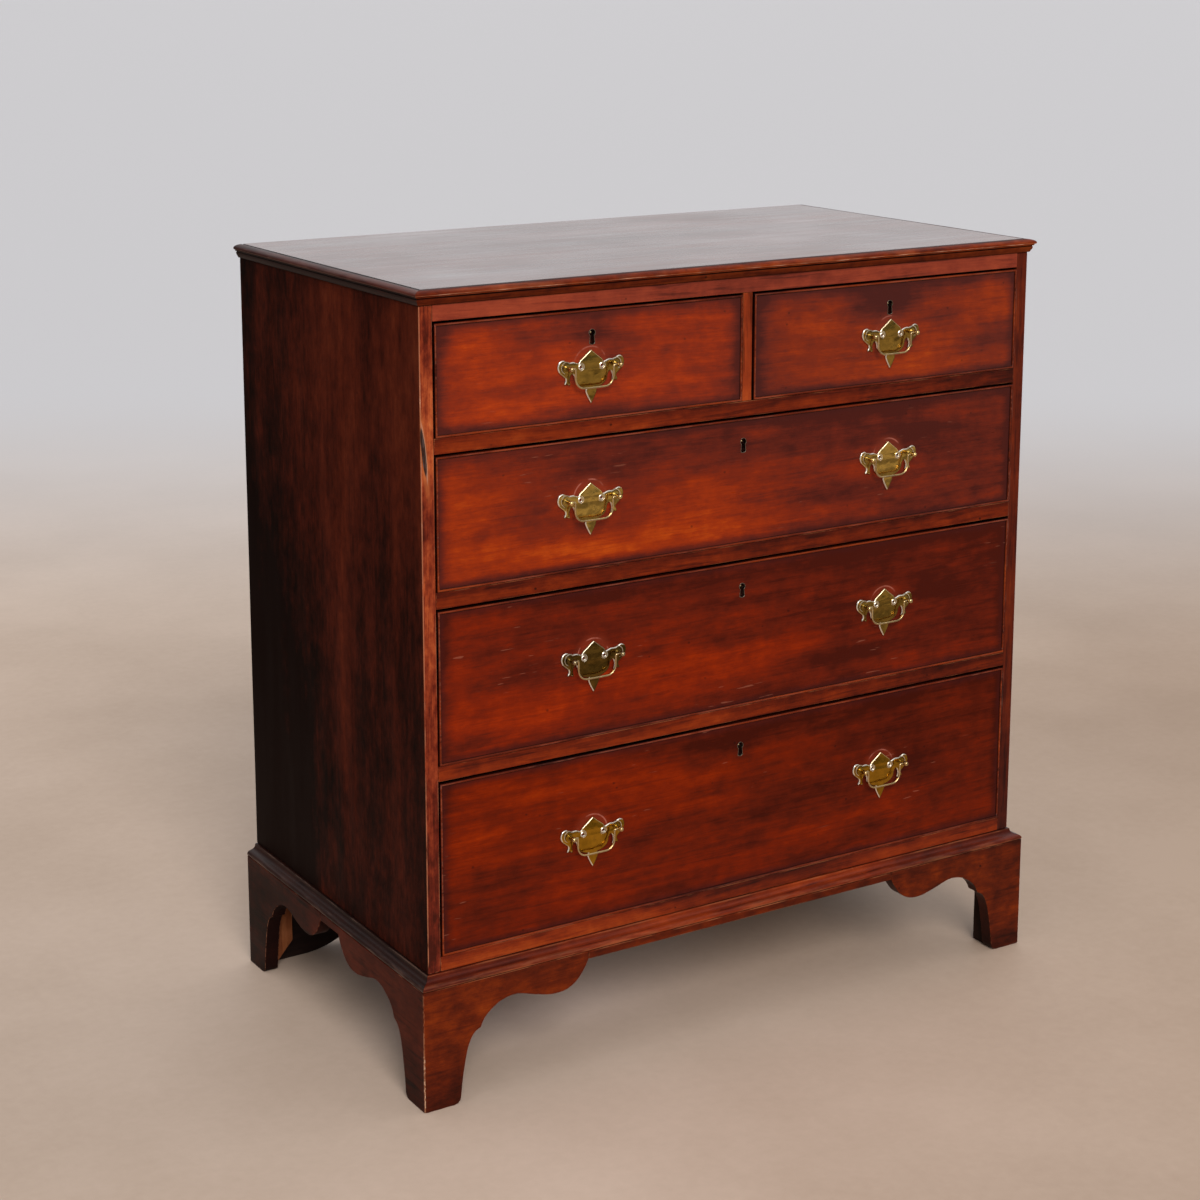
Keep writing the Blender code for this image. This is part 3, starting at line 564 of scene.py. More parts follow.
def loose(name, bm):
    """A helper object for a cut; it is removed again."""
    mesh = bpy.data.meshes.new(name)
    bm.to_mesh(mesh)
    bm.free()
    ob = bpy.data.objects.new(name, mesh)
    bpy.context.scene.collection.objects.link(ob)
    return ob


def drop(*objects):
    for ob in objects:
        bpy.data.objects.remove(ob, do_unlink=True)


def run(name, profile, sections, mat, body, nodes=(), steps=30,
        wear_dirt_and_painted_light=None, ripple=0.0, seed=0.0, angle=40.0, closed=False):
    """A moulding swept along straight stretches between mitred sections.

    sections hold one function each, putting a profile point in the model.
    """
    bm = bmesh.new()
    layer = wear_dirt_and_light_layer(bm)
    n = len(profile)
    rings = []
    pairs = list(zip(sections, sections[1:]))
    if closed:
        pairs.append((sections[-1], sections[0]))
    for k, (p0, p1) in enumerate(pairs):
        last = k == len(pairs) - 1 and not closed
        for s in range(steps + (1 if last else 0)):
            t = s / steps
            ring = []
            for i, (a, z) in enumerate(profile):
                v = Vector(p0(a, z)).lerp(Vector(p1(a, z)), t)
                if ripple and 0 < s < steps:
                    v += Vector((wobble(v, 14.0, seed + 1),
                                 wobble(v, 14.0, seed + 5),
                                 wobble(v, 14.0, seed + 9))) * ripple
                ring.append(bm.verts.new(v))
            rings.append(ring)
    loops = list(zip(rings, rings[1:]))
    if closed:
        loops.append((rings[-1], rings[0]))
    for r0, r1 in loops:
        for i in range(n):
            f = bm.faces.new((r0[i], r0[(i + 1) % n], r1[(i + 1) % n], r1[i]))
            if wear_dirt_and_painted_light is not None:
                f[layer] = wear_dirt_and_painted_light[i]
    if not closed:
        bm.faces.new(list(reversed(rings[0])))
        bm.faces.new(rings[-1])
    bmesh.ops.recalc_face_normals(bm, faces=bm.faces)
    return to_object(name, bm, mat, body, nodes, angle=angle)


def flat_shape(name, loops, low, high, plane="XZ", bevel=0.0, segments=2,
               extra_offset=0.0):
    """A flat outline (with holes) given thickness and rounded edges."""
    curve = bpy.data.curves.new(name, "CURVE")
    curve.dimensions = "2D"
    curve.fill_mode = "BOTH"
    curve.bevel_mode = "ROUND"
    curve.bevel_depth = bevel
    curve.bevel_resolution = segments
    curve.offset = -bevel + extra_offset
    curve.extrude = max(abs(high - low) / 2 - bevel, 0.0)
    for loop in loops:
        spline = curve.splines.new("POLY")
        spline.points.add(len(loop) - 1)
        for p, (a, b) in zip(spline.points, loop):
            p.co = (a, b, 0.0, 1.0)
        spline.use_cyclic_u = True
    ob = bpy.data.objects.new(name, curve)
    bpy.context.scene.collection.objects.link(ob)
    mid = (low + high) / 2
    turn = {"XY": Matrix(((1, 0, 0, 0), (0, 1, 0, 0), (0, 0, 1, mid),
                          (0, 0, 0, 1))),
            "XZ": Matrix(((1, 0, 0, 0), (0, 0, -1, mid), (0, 1, 0, 0),
                          (0, 0, 0, 1))),
            "YZ": Matrix(((0, 0, 1, mid), (1, 0, 0, 0), (0, 1, 0, 0),
                          (0, 0, 0, 1)))}[plane]
    bpy.context.view_layer.update()
    deps = bpy.context.evaluated_depsgraph_get()
    mesh = bpy.data.meshes.new_from_object(ob.evaluated_get(deps))
    bpy.data.objects.remove(ob, do_unlink=True)
    bpy.data.curves.remove(curve)
    bm = bmesh.new()
    bm.from_mesh(mesh)
    bpy.data.meshes.remove(mesh)
    bm.transform(turn)
    bmesh.ops.remove_doubles(bm, verts=bm.verts, dist=2e-6)
    bmesh.ops.recalc_face_normals(bm, faces=bm.faces)
    return bm


def smooth_curve(points, steps=3):
    out = []
    n = len(points)
    for i in range(n - 1):
        p0 = points[max(i - 1, 0)]
        p1, p2 = points[i], points[i + 1]
        p3 = points[min(i + 2, n - 1)]
        for s in range(steps):
            t = s / steps
            out.append(tuple(
                0.5 * (2 * p1[k] + (p2[k] - p0[k]) * t
                       + (2 * p0[k] - 5 * p1[k] + 4 * p2[k] - p3[k]) * t * t
                       + (3 * p1[k] - p0[k] - 3 * p2[k] + p3[k]) * t ** 3)
                for k in range(2)))
    out.append(tuple(points[-1]))
    return out


def turned(profile, centre, segments=24, axis="Y"):
    """A piece turned about a line along Y, from (radius, y) points."""
    bm = bmesh.new()
    verts = [bm.verts.new((r, y, 0.0)) for r, y in profile]
    edges = [bm.edges.new(pair) for pair in zip(verts, verts[1:])]
    bmesh.ops.spin(bm, geom=verts + edges, axis=(0, 1, 0), cent=(0, 0, 0),
                   angle=2 * pi, steps=segments)
    bmesh.ops.remove_doubles(bm, verts=bm.verts, dist=1e-6)
    bmesh.ops.recalc_face_normals(bm, faces=bm.faces)
    bmesh.ops.translate(bm, verts=bm.verts, vec=centre)
    return bm


def merge(into, other):
    """Adds one bmesh's geometry to another."""
    mesh = bpy.data.meshes.new("tmp")
    other.to_mesh(mesh)
    other.free()
    into.from_mesh(mesh)
    bpy.data.meshes.remove(mesh)
    return into


def rod(points, radii, sides=12, caps=True):
    """A round bar along a 3-D line of points, as a bmesh."""
    bm = bmesh.new()
    pts = [Vector(p) for p in points]
    rings = []
    normal = None
    for i, p in enumerate(pts):
        t = (pts[min(i + 1, len(pts) - 1)] - pts[max(i - 1, 0)]).normalized()
        if normal is None:
            normal = t.orthogonal().normalized()
        normal = (normal - t * normal.dot(t)).normalized()
        side = t.cross(normal)
        rings.append([bm.verts.new(p + (normal * cos(2 * pi * k / sides)
                                        + side * sin(2 * pi * k / sides))
                                   * radii[i]) for k in range(sides)])
    for r0, r1 in zip(rings, rings[1:]):
        for k in range(sides):
            bm.faces.new((r0[k], r0[(k + 1) % sides],
                          r1[(k + 1) % sides], r1[k]))
    if caps:
        bm.faces.new(list(reversed(rings[0])))
        bm.faces.new(rings[-1])
    bmesh.ops.recalc_face_normals(bm, faces=bm.faces)
    return bm


# -------------------------------------------------------------- materials --
def side_shade(g, level):
    """Painted shade darker down the side and towards the back, and a painted lift high at the
    front, over broad random bands of tone.
    """
    down = g.step(g.z, 0.95, 0.20)
    back = g.step(g.y, YF + 0.06, YB)
    band = g.noise(g.stretch(g.place, (11.0, 11.0, 2.6)), detail=3.0,
                   rough=0.55, distort=0.4)
    level = g.add(level, g.mul(g.sub(band, 0.5), 0.95))
    level = g.sub(level, g.mul(g.step(g.y, YB - 0.085, YB - 0.01), 0.16))
    third = g.step(g.y, YF + 0.28, YF + 0.40)
    level = g.sub(level, g.mul(third, g.add(0.09, g.mul(down, 0.10))))
    mid = g.math("DIVIDE", g.sub(g.y, YF + 0.235), 0.055)
    mid = g.math("EXPONENT", g.mul(g.mul(mid, mid), -1.0))
    level = g.add(level, g.mul(mid, 0.13))
    level = g.add(level, g.mul(g.step(g.z, 0.5, 0.9),
                               g.step(g.y, 0.10, YF, 0.02, 0.22)))
    level = g.sub(level, g.mul(down, 0.22))
    return g.sub(level, g.mul(back, g.add(0.04, g.mul(down, 0.34))))


def stile_shade(g, level):
    """Lighter at the top, with dark knocks lower down."""
    down = g.step(g.z, 0.84, 0.60)
    low = g.step(g.z, 0.50, 0.20)
    high = g.step(g.z, 0.78, 0.87)
    top = g.step(g.z, 0.915, 0.965)
    level = g.sub(level, g.mul(top, 0.22))
    return g.sub(g.add(level, g.mul(high, 0.25)),
                 g.add(g.mul(down, 0.11), g.mul(low, 0.19)))


def far_stile_shade(g, level):
    """Darker towards its foot."""
    return g.sub(level, g.mul(g.step(g.z, 0.75, 0.30), 0.20))


def nose_shade(g, level):
    """Brown above, with a lighter worn band at the nose's lower edge."""
    low = g.step(g.z, H - 0.0040, H - 0.0066)
    return g.add(level, g.sub(g.mul(low, 0.24), 0.06))


def side_nose_shade(g, level):
    """The nose along the sides is dull red; painted shade makes it black beneath and darker
    towards the back.
    """
    low = g.step(g.z, H - 0.0045, H - 0.0075)
    back = g.step(g.y, YF + 0.12, YB - 0.05)
    level = g.sub(level, g.mul(back, 0.34))
    return g.sub(level, g.add(g.mul(low, 0.34), 0.04))


def rail_shade(g, level):
    """Each front edge is redder above and more orange towards its foot."""
    tall = 0.0
    for z0, z1 in ((0.172, 0.1915), (0.4163, 0.4353), (0.6312, 0.6517),
                   (0.8188, 0.8382)):
        part = g.mul(g.step(g.z, z0 - 0.001, z0 + 0.003),
                     g.step(g.z, z1 + 0.001, z0 + 0.006, 0.0, 1.0))
        tall = g.add(tall, part)
    right = g.step(g.x, -0.15, 0.35)
    below = g.mul(g.step(g.z, 0.60, 0.40), g.step(g.x, 0.10, -0.20))
    level = g.add(level, g.mul(g.sub(tall, 0.6), 0.26))
    level = g.add(level, g.mul(below, 0.24))
    bottom = g.step(g.z, 0.26, 0.22)
    level = g.add(level, g.mul(bottom, g.sub(g.mul(right, 0.36), 0.14)))
    return g.sub(level, g.mul(right, 0.14))


def base_shade(g, level):
    """The moulding over the feet is darker towards the right."""
    return g.sub(level, g.mul(g.step(g.x, 0.0, 0.42), 0.40))


def foot_shade(g, level):
    """Darker along the floor, and glowing on the bracket above."""
    low = g.step(g.z, 0.050, 0.004)
    top = g.step(g.z, 0.142, 0.156)
    glow = g.mul(g.step(g.z, 0.06, 0.10),
                 g.step(g.math("ABSOLUTE", g.x), 0.475, 0.40, 0.2, 1.0))
    level = g.add(level, g.mul(glow, 0.12))
    level = g.sub(level, g.mul(g.step(g.x, 0.20, 0.40), 0.07))
    return g.sub(level, g.add(g.mul(low, 0.26), g.mul(top, 0.16)))


def foot_side_shade(g, level):
    """Painted shade: the side brackets darken towards the back and towards the floor."""
    back = g.step(g.y, -0.05, 0.16)
    low = g.step(g.z, 0.06, 0.01)
    return g.sub(level, g.add(g.mul(back, 0.30), g.mul(low, 0.10)))


M_SIDE_L = wood("side_left_wood", "Z", SIDE, 2.0, extra=side_shade,
                specular=0.014, rough=0.42, contrast=0.62, mottle=0.85,
                flecks=0.06, blotch=0.50, lump_scale=24.0, streaks=0.45,
                wear_color=(0.20, 0.06, 0.03))
M_SIDE_R = wood("side_right_wood", "Z", SIDE, 7.0, extra=side_shade,
                specular=0.014, rough=0.42, contrast=0.62, mottle=0.85,
                flecks=0.06, blotch=0.50, lump_scale=24.0, streaks=0.45,
                wear_color=(0.20, 0.06, 0.03))
M_STILE = wood("stile_left_wood", "Z", STILE, 10.5, extra=stile_shade,
               specks=1.0, contrast=1.1, specular=0.12, blotch=0.60,
               mottle=1.15, wear_color=(0.44, 0.16, 0.080), wear_amount=0.75,
               spark=(0.66, 0.34, 0.22), streaks=0.4)
M_STILE_R = wood("stile_right_wood", "Z", tinted(LOW_RAIL, 0.84, 0.80, 1.0),
                 11.5, specks=1.0, contrast=1.1, specular=0.16, blotch=0.4,
                 extra=far_stile_shade, wear_color=(0.20, 0.075, 0.05))
M_TOP = wood("top_wood", "X", tinted(TOPW, 0.80, 0.84, 0.92), 4.0, rough=0.27, contrast=0.55,
             specular=0.5, coat=0.35, coat_rough=0.24, specks=0.3)


def chipped(m, cx, cz, rx, rz):
    """A dark split with pale splinters beside it, on one material."""
    g = Graph.__new__(Graph)
    g.mat, g.nodes, g.links = m, m.node_tree.nodes, m.node_tree.links
    g.bsdf = g.nodes["Principled BSDF"]
    place = [n for n in g.nodes if n.bl_idname == "ShaderNodeTexCoord"][0]
    split = [n for n in g.nodes if n.bl_idname == "ShaderNodeSeparateXYZ"][0]
    g.place = place.outputs["Object"]
    g.x, g.y, g.z = split.outputs
    col = g.bsdf.inputs["Base Color"].links[0].from_socket
    lean = g.mul(g.sub(g.z, cz), -0.10)
    wav = g.mul(g.sub(g.noise(g.stretch(g.place, (150, 150, 60)),
                              detail=3.0), 0.5), 0.55)
    dx = g.math("DIVIDE", g.sub(g.x, g.add(lean, cx)), rx)
    dz = g.math("DIVIDE", g.sub(g.z, cz), rz)
    r2 = g.add(g.add(g.mul(dx, dx), g.mul(dz, dz)), wav)
    glow = g.step(r2, 5.0, 1.2)
    col = g.mix(g.mul(glow, 0.45), col, (0.42, 0.13, 0.040))
    rim = g.mul(g.step(r2, 1.9, 1.2), g.step(dx, -0.1, 0.5))
    col = g.mix(g.mul(rim, 0.6), col, (0.55, 0.30, 0.20))
    dark = g.step(r2, 1.15, 0.75)
    hair = g.noise(g.stretch(g.place, (900, 900, 60)), detail=1.0)
    soot = g.mix(g.step(hair, 0.52, 0.62), (0.012, 0.009, 0.009),
                 (0.060, 0.050, 0.050))
    col = g.mix(g.mul(dark, 0.93), col, soot)
    g.links.new(col, g.bsdf.inputs["Base Color"])


chipped(M_STILE, XL + 4.0 * MM, 0.8235, 2.8 * MM, 31.0 * MM)
M_MOULD = wood("moulding_wood", "X", LOW_RAIL, 5.0, rough=0.52,
               specular=0.05, blotch=0.9, extra=nose_shade, streaks=0.5,
               lump_scale=60.0, specks=0.8,
               wear_color=(0.40, 0.140, 0.065), wear_amount=0.45,
               spark=(0.74, 0.40, 0.27))
M_MOULD_Y = wood("moulding_side_wood", "Y", tinted(RAIL, 0.62, 0.85, 1.0),
                 6.0, rough=0.40, specular=0.08, coat=0.06, coat_rough=0.34,
                 extra=side_nose_shade, grime_and_shade=(0.010, 0.0042, 0.0034),
                 wear_color=(0.20, 0.100, 0.075), wear_amount=0.6)
M_TOP_RAIL = wood("top_rail_wood", "X", tinted(RAIL, 1.22, 1.08, 1.0), 8.0,
                  specks=0.8,
                  specular=0.24, blotch=0.55, streaks=0.3, contrast=0.8)
M_RAIL = wood("rail_wood", "X", tinted(LOW_RAIL, 0.97, 0.78, 0.70), 8.4, specks=0.8, specular=0.16,
              blotch=0.50, mottle=0.55, streaks=0.4, extra=rail_shade,
              wear_color=(0.40, 0.13, 0.05), grime_and_shade=(0.003, 0.001, 0.001))
M_MUNTIN = wood("muntin_wood", "Z", tinted(RAIL, 1.25, 0.98, 0.45), 9.5,
                specks=1.0, contrast=1.2, specular=0.14, blotch=0.5,
                wear_color=(0.46, 0.15, 0.045))
M_BASE = wood("base_moulding_wood", "X", tinted(LOW_RAIL, 1.22, 1.16, 1.1),
              12.0, blotch=0.3, rough=0.36, specular=0.15,
              extra=base_shade, wear_color=(0.32, 0.105, 0.042),
              wear_amount=0.45, spark=(0.50, 0.22, 0.14))
# near-black side moulding: partly its own dark colour, partly painted shade for the side turned
# from the light
M_BASE_Y = wood("base_moulding_side_wood", "Y",
                tinted(BLACKISH, 1.35, 1.0, 0.9), 12.5, rough=0.34,
                specular=0.15, wear_color=(0.125, 0.070, 0.052),
                wear_amount=0.7, spark=(0.24, 0.17, 0.14))
M_FOOT = wood("foot_wood", "X", FOOT, 14.0, rough=0.38, contrast=0.50,
              specular=0.07, specks=1.0, mottle=0.75, blotch=0.74,
              streaks=0.5, flecks=0.10, lump_scale=31.0,
              extra=foot_shade, wear_color=(0.34, 0.12, 0.05),
              spark=(0.80, 0.52, 0.34))
# near-black back brackets: partly dark stain, partly painted shade where their inner faces sit in
# deep shade under the case
M_FOOT_BACK = wood("foot_back_wood", "X", BLACKISH, 18.5, rough=0.5,
                   contrast=1.2, specular=0.15, specks=1.0,
                   wear_color=(0.10, 0.05, 0.03))
M_FOOT_Z = wood("foot_side_wood", "Y", SIDE, 15.5, rough=0.40, contrast=0.7,
                specular=0.04, specks=1.0, mottle=0.6, blotch=0.5,
                streaks=0.45, lump_scale=33.0,
                extra=foot_side_shade, wear_color=(0.30, 0.13, 0.075),
                spark=(0.62, 0.38, 0.25))
# painted shade: the front glue blocks, deep in shade behind the brackets, take near-black wood
# while the rear ones are pine-coloured
M_BLOCK_DARK = wood("block_dark_wood", "Z", BLACKISH, 40.0, rough=0.6,
                    specular=0.1, contrast=1.2, specks=1.0,
                    wear_color=(0.06, 0.03, 0.02))
M_BLOCK = wood("block_wood", "Z", BLOCKT, 41.0, rough=0.6, specular=0.12,
               contrast=0.7, specks=1.0, blotch=0.6, bump=3.0,
               wear_color=(0.45, 0.20, 0.09))
M_BEAD = wood("bead_wood", "X", LOW_RAIL, 17.0, specular=0.13,
              wear_color=(0.33, 0.100, 0.060), wear_amount=0.50,
              grime_and_shade=(0.004, 0.0014, 0.0014))
M_OAK = wood("lining_oak", "Y", OAKT, 20.0, rough=0.66, specular=0.25,
             coat=0.0, coat_rough=0.3, pores=0.7, specks=0.6,
             wear_color=(0.45, 0.32, 0.19), grime_and_shade=(0.05, 0.03, 0.018))
M_OAK_X = wood("lining_oak_cross", "X", OAKT, 23.0, rough=0.66,
               specular=0.25, coat=0.0, coat_rough=0.3, pores=0.7,
               specks=0.6, wear_color=(0.45, 0.32, 0.19),
               grime_and_shade=(0.05, 0.03, 0.018))
M_PINE = wood("carcase_pine", "Z", PINET, 26.0, rough=0.74, specular=0.2,
              coat=0.0, coat_rough=0.3, pores=0.3, specks=0.9,
              wear_color=(0.30, 0.18, 0.09), grime_and_shade=(0.03, 0.016, 0.009))
M_PINE_X = wood("carcase_pine_cross", "X", PINET, 29.0, rough=0.74,
                specular=0.2, coat=0.0, coat_rough=0.3, pores=0.3,
                specks=0.9, wear_color=(0.30, 0.18, 0.09),
                grime_and_shade=(0.03, 0.016, 0.009))
# four copies of one brass, brighter or darker plate by plate: painted reflection, for what each
# plate mirrors
M_BRASS = [brass("plate_brass_%d" % i, 1.0 + i, rough=0.17, base=c)
           for i, c in enumerate(((0.47, 0.295, 0.060), (0.76, 0.50, 0.120),
                                  (0.20, 0.120, 0.025),
                                  (0.46, 0.245, 0.020)))]
M_BAIL = brass("bail_brass", 3.0, rough=0.30, base=(0.66, 0.49, 0.25))
M_THREAD = brass("thread_metal", 5.0, rough=0.42, base=(0.27, 0.22, 0.17),
                 dark=(0.03, 0.022, 0.016))
M_IRON = iron("lock_iron")

# ------------------------------------------------------------------- case --
for label, s, mat, mat_edge in (("left", -1, M_SIDE_L, M_STILE),
                                ("right", 1, M_SIDE_R, M_STILE_R)):
    x_out, x_in = s * W / 2, s * (W / 2 - SIDE_T)
    lo = (min(x_out, x_in), YF, Z_CASE + GAP)
    hi = (max(x_out, x_in), YB, Z_CASE_TOP - GAP)
    bm = round_edges(cube(lo, hi), 1.2 * MM, 3)
    layer = wear_dirt_and_light_layer(bm)
    for f in bm.faces:
        c = f.calc_center_median()
        if f[layer] > 0 and c.y < YF + 1.3 * MM and \
                abs(c.x - x_out) < 1.3 * MM:
            f[layer] = 1.9
    slice_up(bm, 1, lo[1], hi[1], 14)
    slice_up(bm, 2, lo[2], hi[2], 22)
    layer = wear_dirt_and_light_layer(bm)
    for f in bm.faces:
        if f[layer] > 1.5:
            h = min(max((f.calc_center_median().z - 0.35) / 0.45, 0.0), 1.0)
            f[layer] = 1.05 + 0.85 * h
    for v in bm.verts:
        v.co.x += 0.30 * MM * wobble(v.co, 5.0, 3.0 + s)
    ob = to_object("visual_side_" + label, bm, mat, "case",
                   ("case_side_" + label,))
    ob.data.materials.append(mat_edge)
    for f in ob.data.polygons:
        if f.normal.y < -0.35:
            f.material_index = 1

# top board and its moulding
x = XL + STRIP_IN + GAP
x += 0.8 * MM
bm = round_edges(cube((x, YF + STRIP_IN + GAP + 0.4 * MM, Z_CASE_TOP),
                      (-x, YB, H)), 1.1 * MM, 2, wear_dirt_and_painted_light=0.4)
slice_up(bm, 0, x, -x, 24)
slice_up(bm, 1, YF, YB, 14)
layer = wear_dirt_and_light_layer(bm)
for f in bm.faces:
    if f[layer] > 0 and f.calc_center_median().y < YB - 1 * MM:
        f[layer] = -0.9
for v in bm.verts:
    if v.co.z > Z_CASE_TOP + 0.012:
        v.co.z -= 0.25 * MM * (0.5 + 0.5 * wobble(v.co, 5.5, 9.0))
to_object("visual_top_board", bm, M_TOP, "case",
          ("top_board",))


def top_profile():
    """A thumb above a fillet, a deep groove and a small hollow."""
    pts = [(-4.0, -18.0), (-4.0, -6.0), (-3.0, -5.0), (-3.0, -0.9),
           (-2.8, -0.5)]
    for k in range(1, 12):
        t = radians(90.0 / 11 * k)
        pts.append((-2.8 + 11.4 * sin(t), -0.5 - 4.4 * (1 - cos(t))))
    pts += [(8.6, -5.7), (8.35, -6.4), (7.6, -6.8), (6.4, -6.9),
            (6.3, -8.4), (5.8, -8.9), (4.2, -9.1), (4.1, -10.3),
            (5.0, -10.6), (4.9, -11.6), (4.5, -13.0), (3.6, -14.8),
            (2.7, -16.4), (2.2, -17.3), (2.0, -18.0)]
    return [(a * MM, H + z * MM) for a, z in pts]


def top_wear_dirt_and_shade(front):
    """One mark for each strip of the profile: rubbed arris, dirty joint, and painted shade in the
    groove and hollows.
    """
    pts = top_profile()
    marks = []
    for (a0, z0), (a1, z1) in zip(pts, pts[1:] + pts[:1]):
        a, z = (a0 + a1) / 2 / MM, ((z0 + z1) / 2 - H) / MM
        if a < -2.85:
            marks.append(-1.0)
        elif a < 3.1 and z > -0.55:
            marks.append(-0.45 if front else (-1.0 if a < -1.4 else 0.0))
        elif z > -0.8:
            marks.append(-0.75 if front else 0.1)
        elif z > -5.2:
            marks.append(0.35)
        elif z > -6.85:
            marks.append(2.0 if z < -5.9 else 1.0)
        elif -8.45 < z < -6.95 and a > 6.2:
            marks.append(0.5)
        # painted shade in the fillet, the deep groove and the hollow below
        elif z > -10.5:
            marks.append(-1.0)
        elif z > -17.5:
            marks.append(-0.5 if front else 0.0)
        else:
            marks.append(-0.9)
    return marks


e = 0.1 * MM
run("visual_top_moulding_front", top_profile(),
    [lambda a, z: (XL - a + e, YF - a, z),
     lambda a, z: (XR + a - e, YF - a, z)],
    M_MOULD, "case", ("top_moulding",), steps=60,
    wear_dirt_and_painted_light=top_wear_dirt_and_shade(True), ripple=0.16 * MM, seed=2.0)
for label, s in (("left", -1), ("right", 1)):
    run("visual_top_moulding_" + label, top_profile(),
        [lambda a, z, s=s: (s * (W / 2 + a), YB, z),
         lambda a, z, s=s: (s * (W / 2 + a), YF - a + e, z)],
        M_MOULD_Y, "case", (), steps=36, wear_dirt_and_painted_light=top_wear_dirt_and_shade(False),
        ripple=0.14 * MM, seed=4.0 + s)

# rails: the mahogany front parts of the dividers, and plain boards behind
shelves = [("case_bottom", Z_CASE + GAP, TIERS[0][0], "bottom"),
           ("drawer_divider_lower", TIERS[0][1], TIERS[1][0], "lower"),
           ("drawer_divider_middle", TIERS[1][1], TIERS[2][0], "middle"),
           ("drawer_divider_upper", TIERS[2][1], TIERS[3][0], "upper")]
x = XL + SIDE_T + GAP
for k, (node, z0, z1, label) in enumerate(shelves):
    board("visual_rail_" + label, (x, YF, z0), (-x, YF + 58 * MM, z1),
          M_RAIL, "case", (node,), r=0.7 * MM, seed=k * 3.0,
          cuts=(30, 1, 1), bend=0.20 * MM, bend_axis=2, painted_gap_shade=True)
    board("visual_dustboard_" + label, (x, YF + 58.3 * MM, z0 + 0.05 * MM),
          (-x, YB - BACK_T - 2 * GAP, z1 - 0.05 * MM), M_PINE_X, "case",
          (), r=0.4 * MM, wear_dirt_and_painted_light=0.3)
board("visual_top_rail", (x, YF, TIERS[3][1]), (-x, YF + RAIL_D,
                                                Z_CASE_TOP - GAP),
      M_TOP_RAIL, "case", ("top_rail",), r=0.6 * MM,
      painted_gap_shade=True)
board("visual_muntin", (PART_X0, YF, TIERS[3][0] + GAP),
      (PART_X1, YF + RAIL_D - 1 * MM, TIERS[3][1] - GAP), M_MUNTIN, "case",
      ("centre_partition",), r=0.7 * MM)
board("visual_partition_board", (PART_X0 + 0.2 * MM, YF + RAIL_D,
                                 TIERS[3][0] + GAP),
      (PART_X1 - 0.2 * MM, YB - BACK_T - 2 * GAP, Z_CASE_TOP - GAP),
      M_PINE_X, "case", (), r=0.4 * MM, wear_dirt_and_painted_light=0.3)

# back: four pine boards, and the strip below them that closes the base
x = XL + SIDE_T - 8.0 * MM + GAP
edges = [x, x + 0.228, x + 0.471, x + 0.690, -x]
for i, (a, b) in enumerate(zip(edges, edges[1:])):
    board("visual_back_board_%d" % (i + 1),
          (a + 0.35 * MM, YB - BACK_T, Z_CASE + GAP),
          (b - 0.35 * MM, YB, Z_CASE_TOP - GAP), M_PINE, "case",
          ("back_panel",) if i == 0 else (), r=0.9 * MM,
          wear_dirt_and_painted_light=0.5, seed=i * 2.0, cuts=(3, 1, 14), bend=-0.0, bend_axis=1)
x = XL + 46.0 * MM - 15.3 * MM + GAP
board("visual_back_strip", (x, YB - BACK_T, Z_BRACKET + 0.1 * MM),
      (-x, YB, Z_CASE), M_PINE_X, "case", (), r=0.7 * MM,
      wear_dirt_and_painted_light=0.5, seed=11.0, cuts=(20, 1, 1))

# -------------------------------------------------------------------- base --
FRAME_W = 46.0 * MM


def base_profile():
    """A small top step, a hollow, and a broad rounded foot."""
    pts = [(-FRAME_W / MM + 15.3, 0.0), (-FRAME_W / MM + 15.3, 15.0),
           (1.6, 15.0), (2.4, 14.6), (2.7, 13.8), (2.8, 13.0)]
    for k in range(1, 8):
        t = radians(11 * k)
        pts.append((2.9 + 7.4 * (1 - cos(t)), 13.0 - 6.0 * sin(t)))
    pts += [(10.6, 6.5), (12.4, 5.9), (13.9, 4.9), (14.7, 3.6),
            (15.1, 2.2), (15.0, 0.9), (14.2, 0.3), (13.4, 0.0)]
    return [(a * MM, Z_BRACKET + z * MM) for a, z in pts]


def base_wear():
    return [0.0, -0.6, 1.0, 1.3, 0.4, 0.0] + [-0.1] * 7 + \
        [0.3, 0.5, 0.6, 0.9, 1.3, 0.4, -0.9, -1.0, 0.0]


half = GAP / 2
run("visual_base_moulding_front", base_profile(),
    [lambda a, z: (XL - a + half, YF - a, z),
     lambda a, z: (XR + a - half, YF - a, z)], M_BASE, "case",
    ("base_moulding_front",), steps=60, wear_dirt_and_painted_light=base_wear(), ripple=0.16 * MM,
    seed=6.0)
for label, s in (("left", -1), ("right", 1)):
    run("visual_base_moulding_" + label, base_profile(),
        [lambda a, z, s=s: (s * (W / 2 + a), YB, z),
         lambda a, z, s=s: (s * (W / 2 + a), YF - a + half, z)],
        M_BASE_Y, "case", ("base_moulding_" + label,),
        steps=36, wear_dirt_and_painted_light=base_wear(), ripple=0.14 * MM, seed=8.0 + s)

RAIL_LOW = 147.0 * MM
BRACKET_T = 20.0 * MM
ARM = 236.0 * MM


def bracket_curve(steps=4):
    foot = smooth_curve([(50.8, 8.0), (52.8, 26.0), (56.4, 48.0),
                         (61.6, 72.0), (69.5, 88.0), (79.6, 94.2)], steps)
    arch = smooth_curve([(79.6, 94.2), (85.5, 105.5), (97.0, 115.8),
                         (113.0, 123.6), (133.0, 125.4), (158.0, 118.2),
                         (182.0, 112.6), (203.0, 113.6), (219.0, 122.4),
                         (230.0, 136.0), (236.0, 147.0)], steps)
    return [(u * MM, z * MM) for u, z in foot[:-1] + arch]


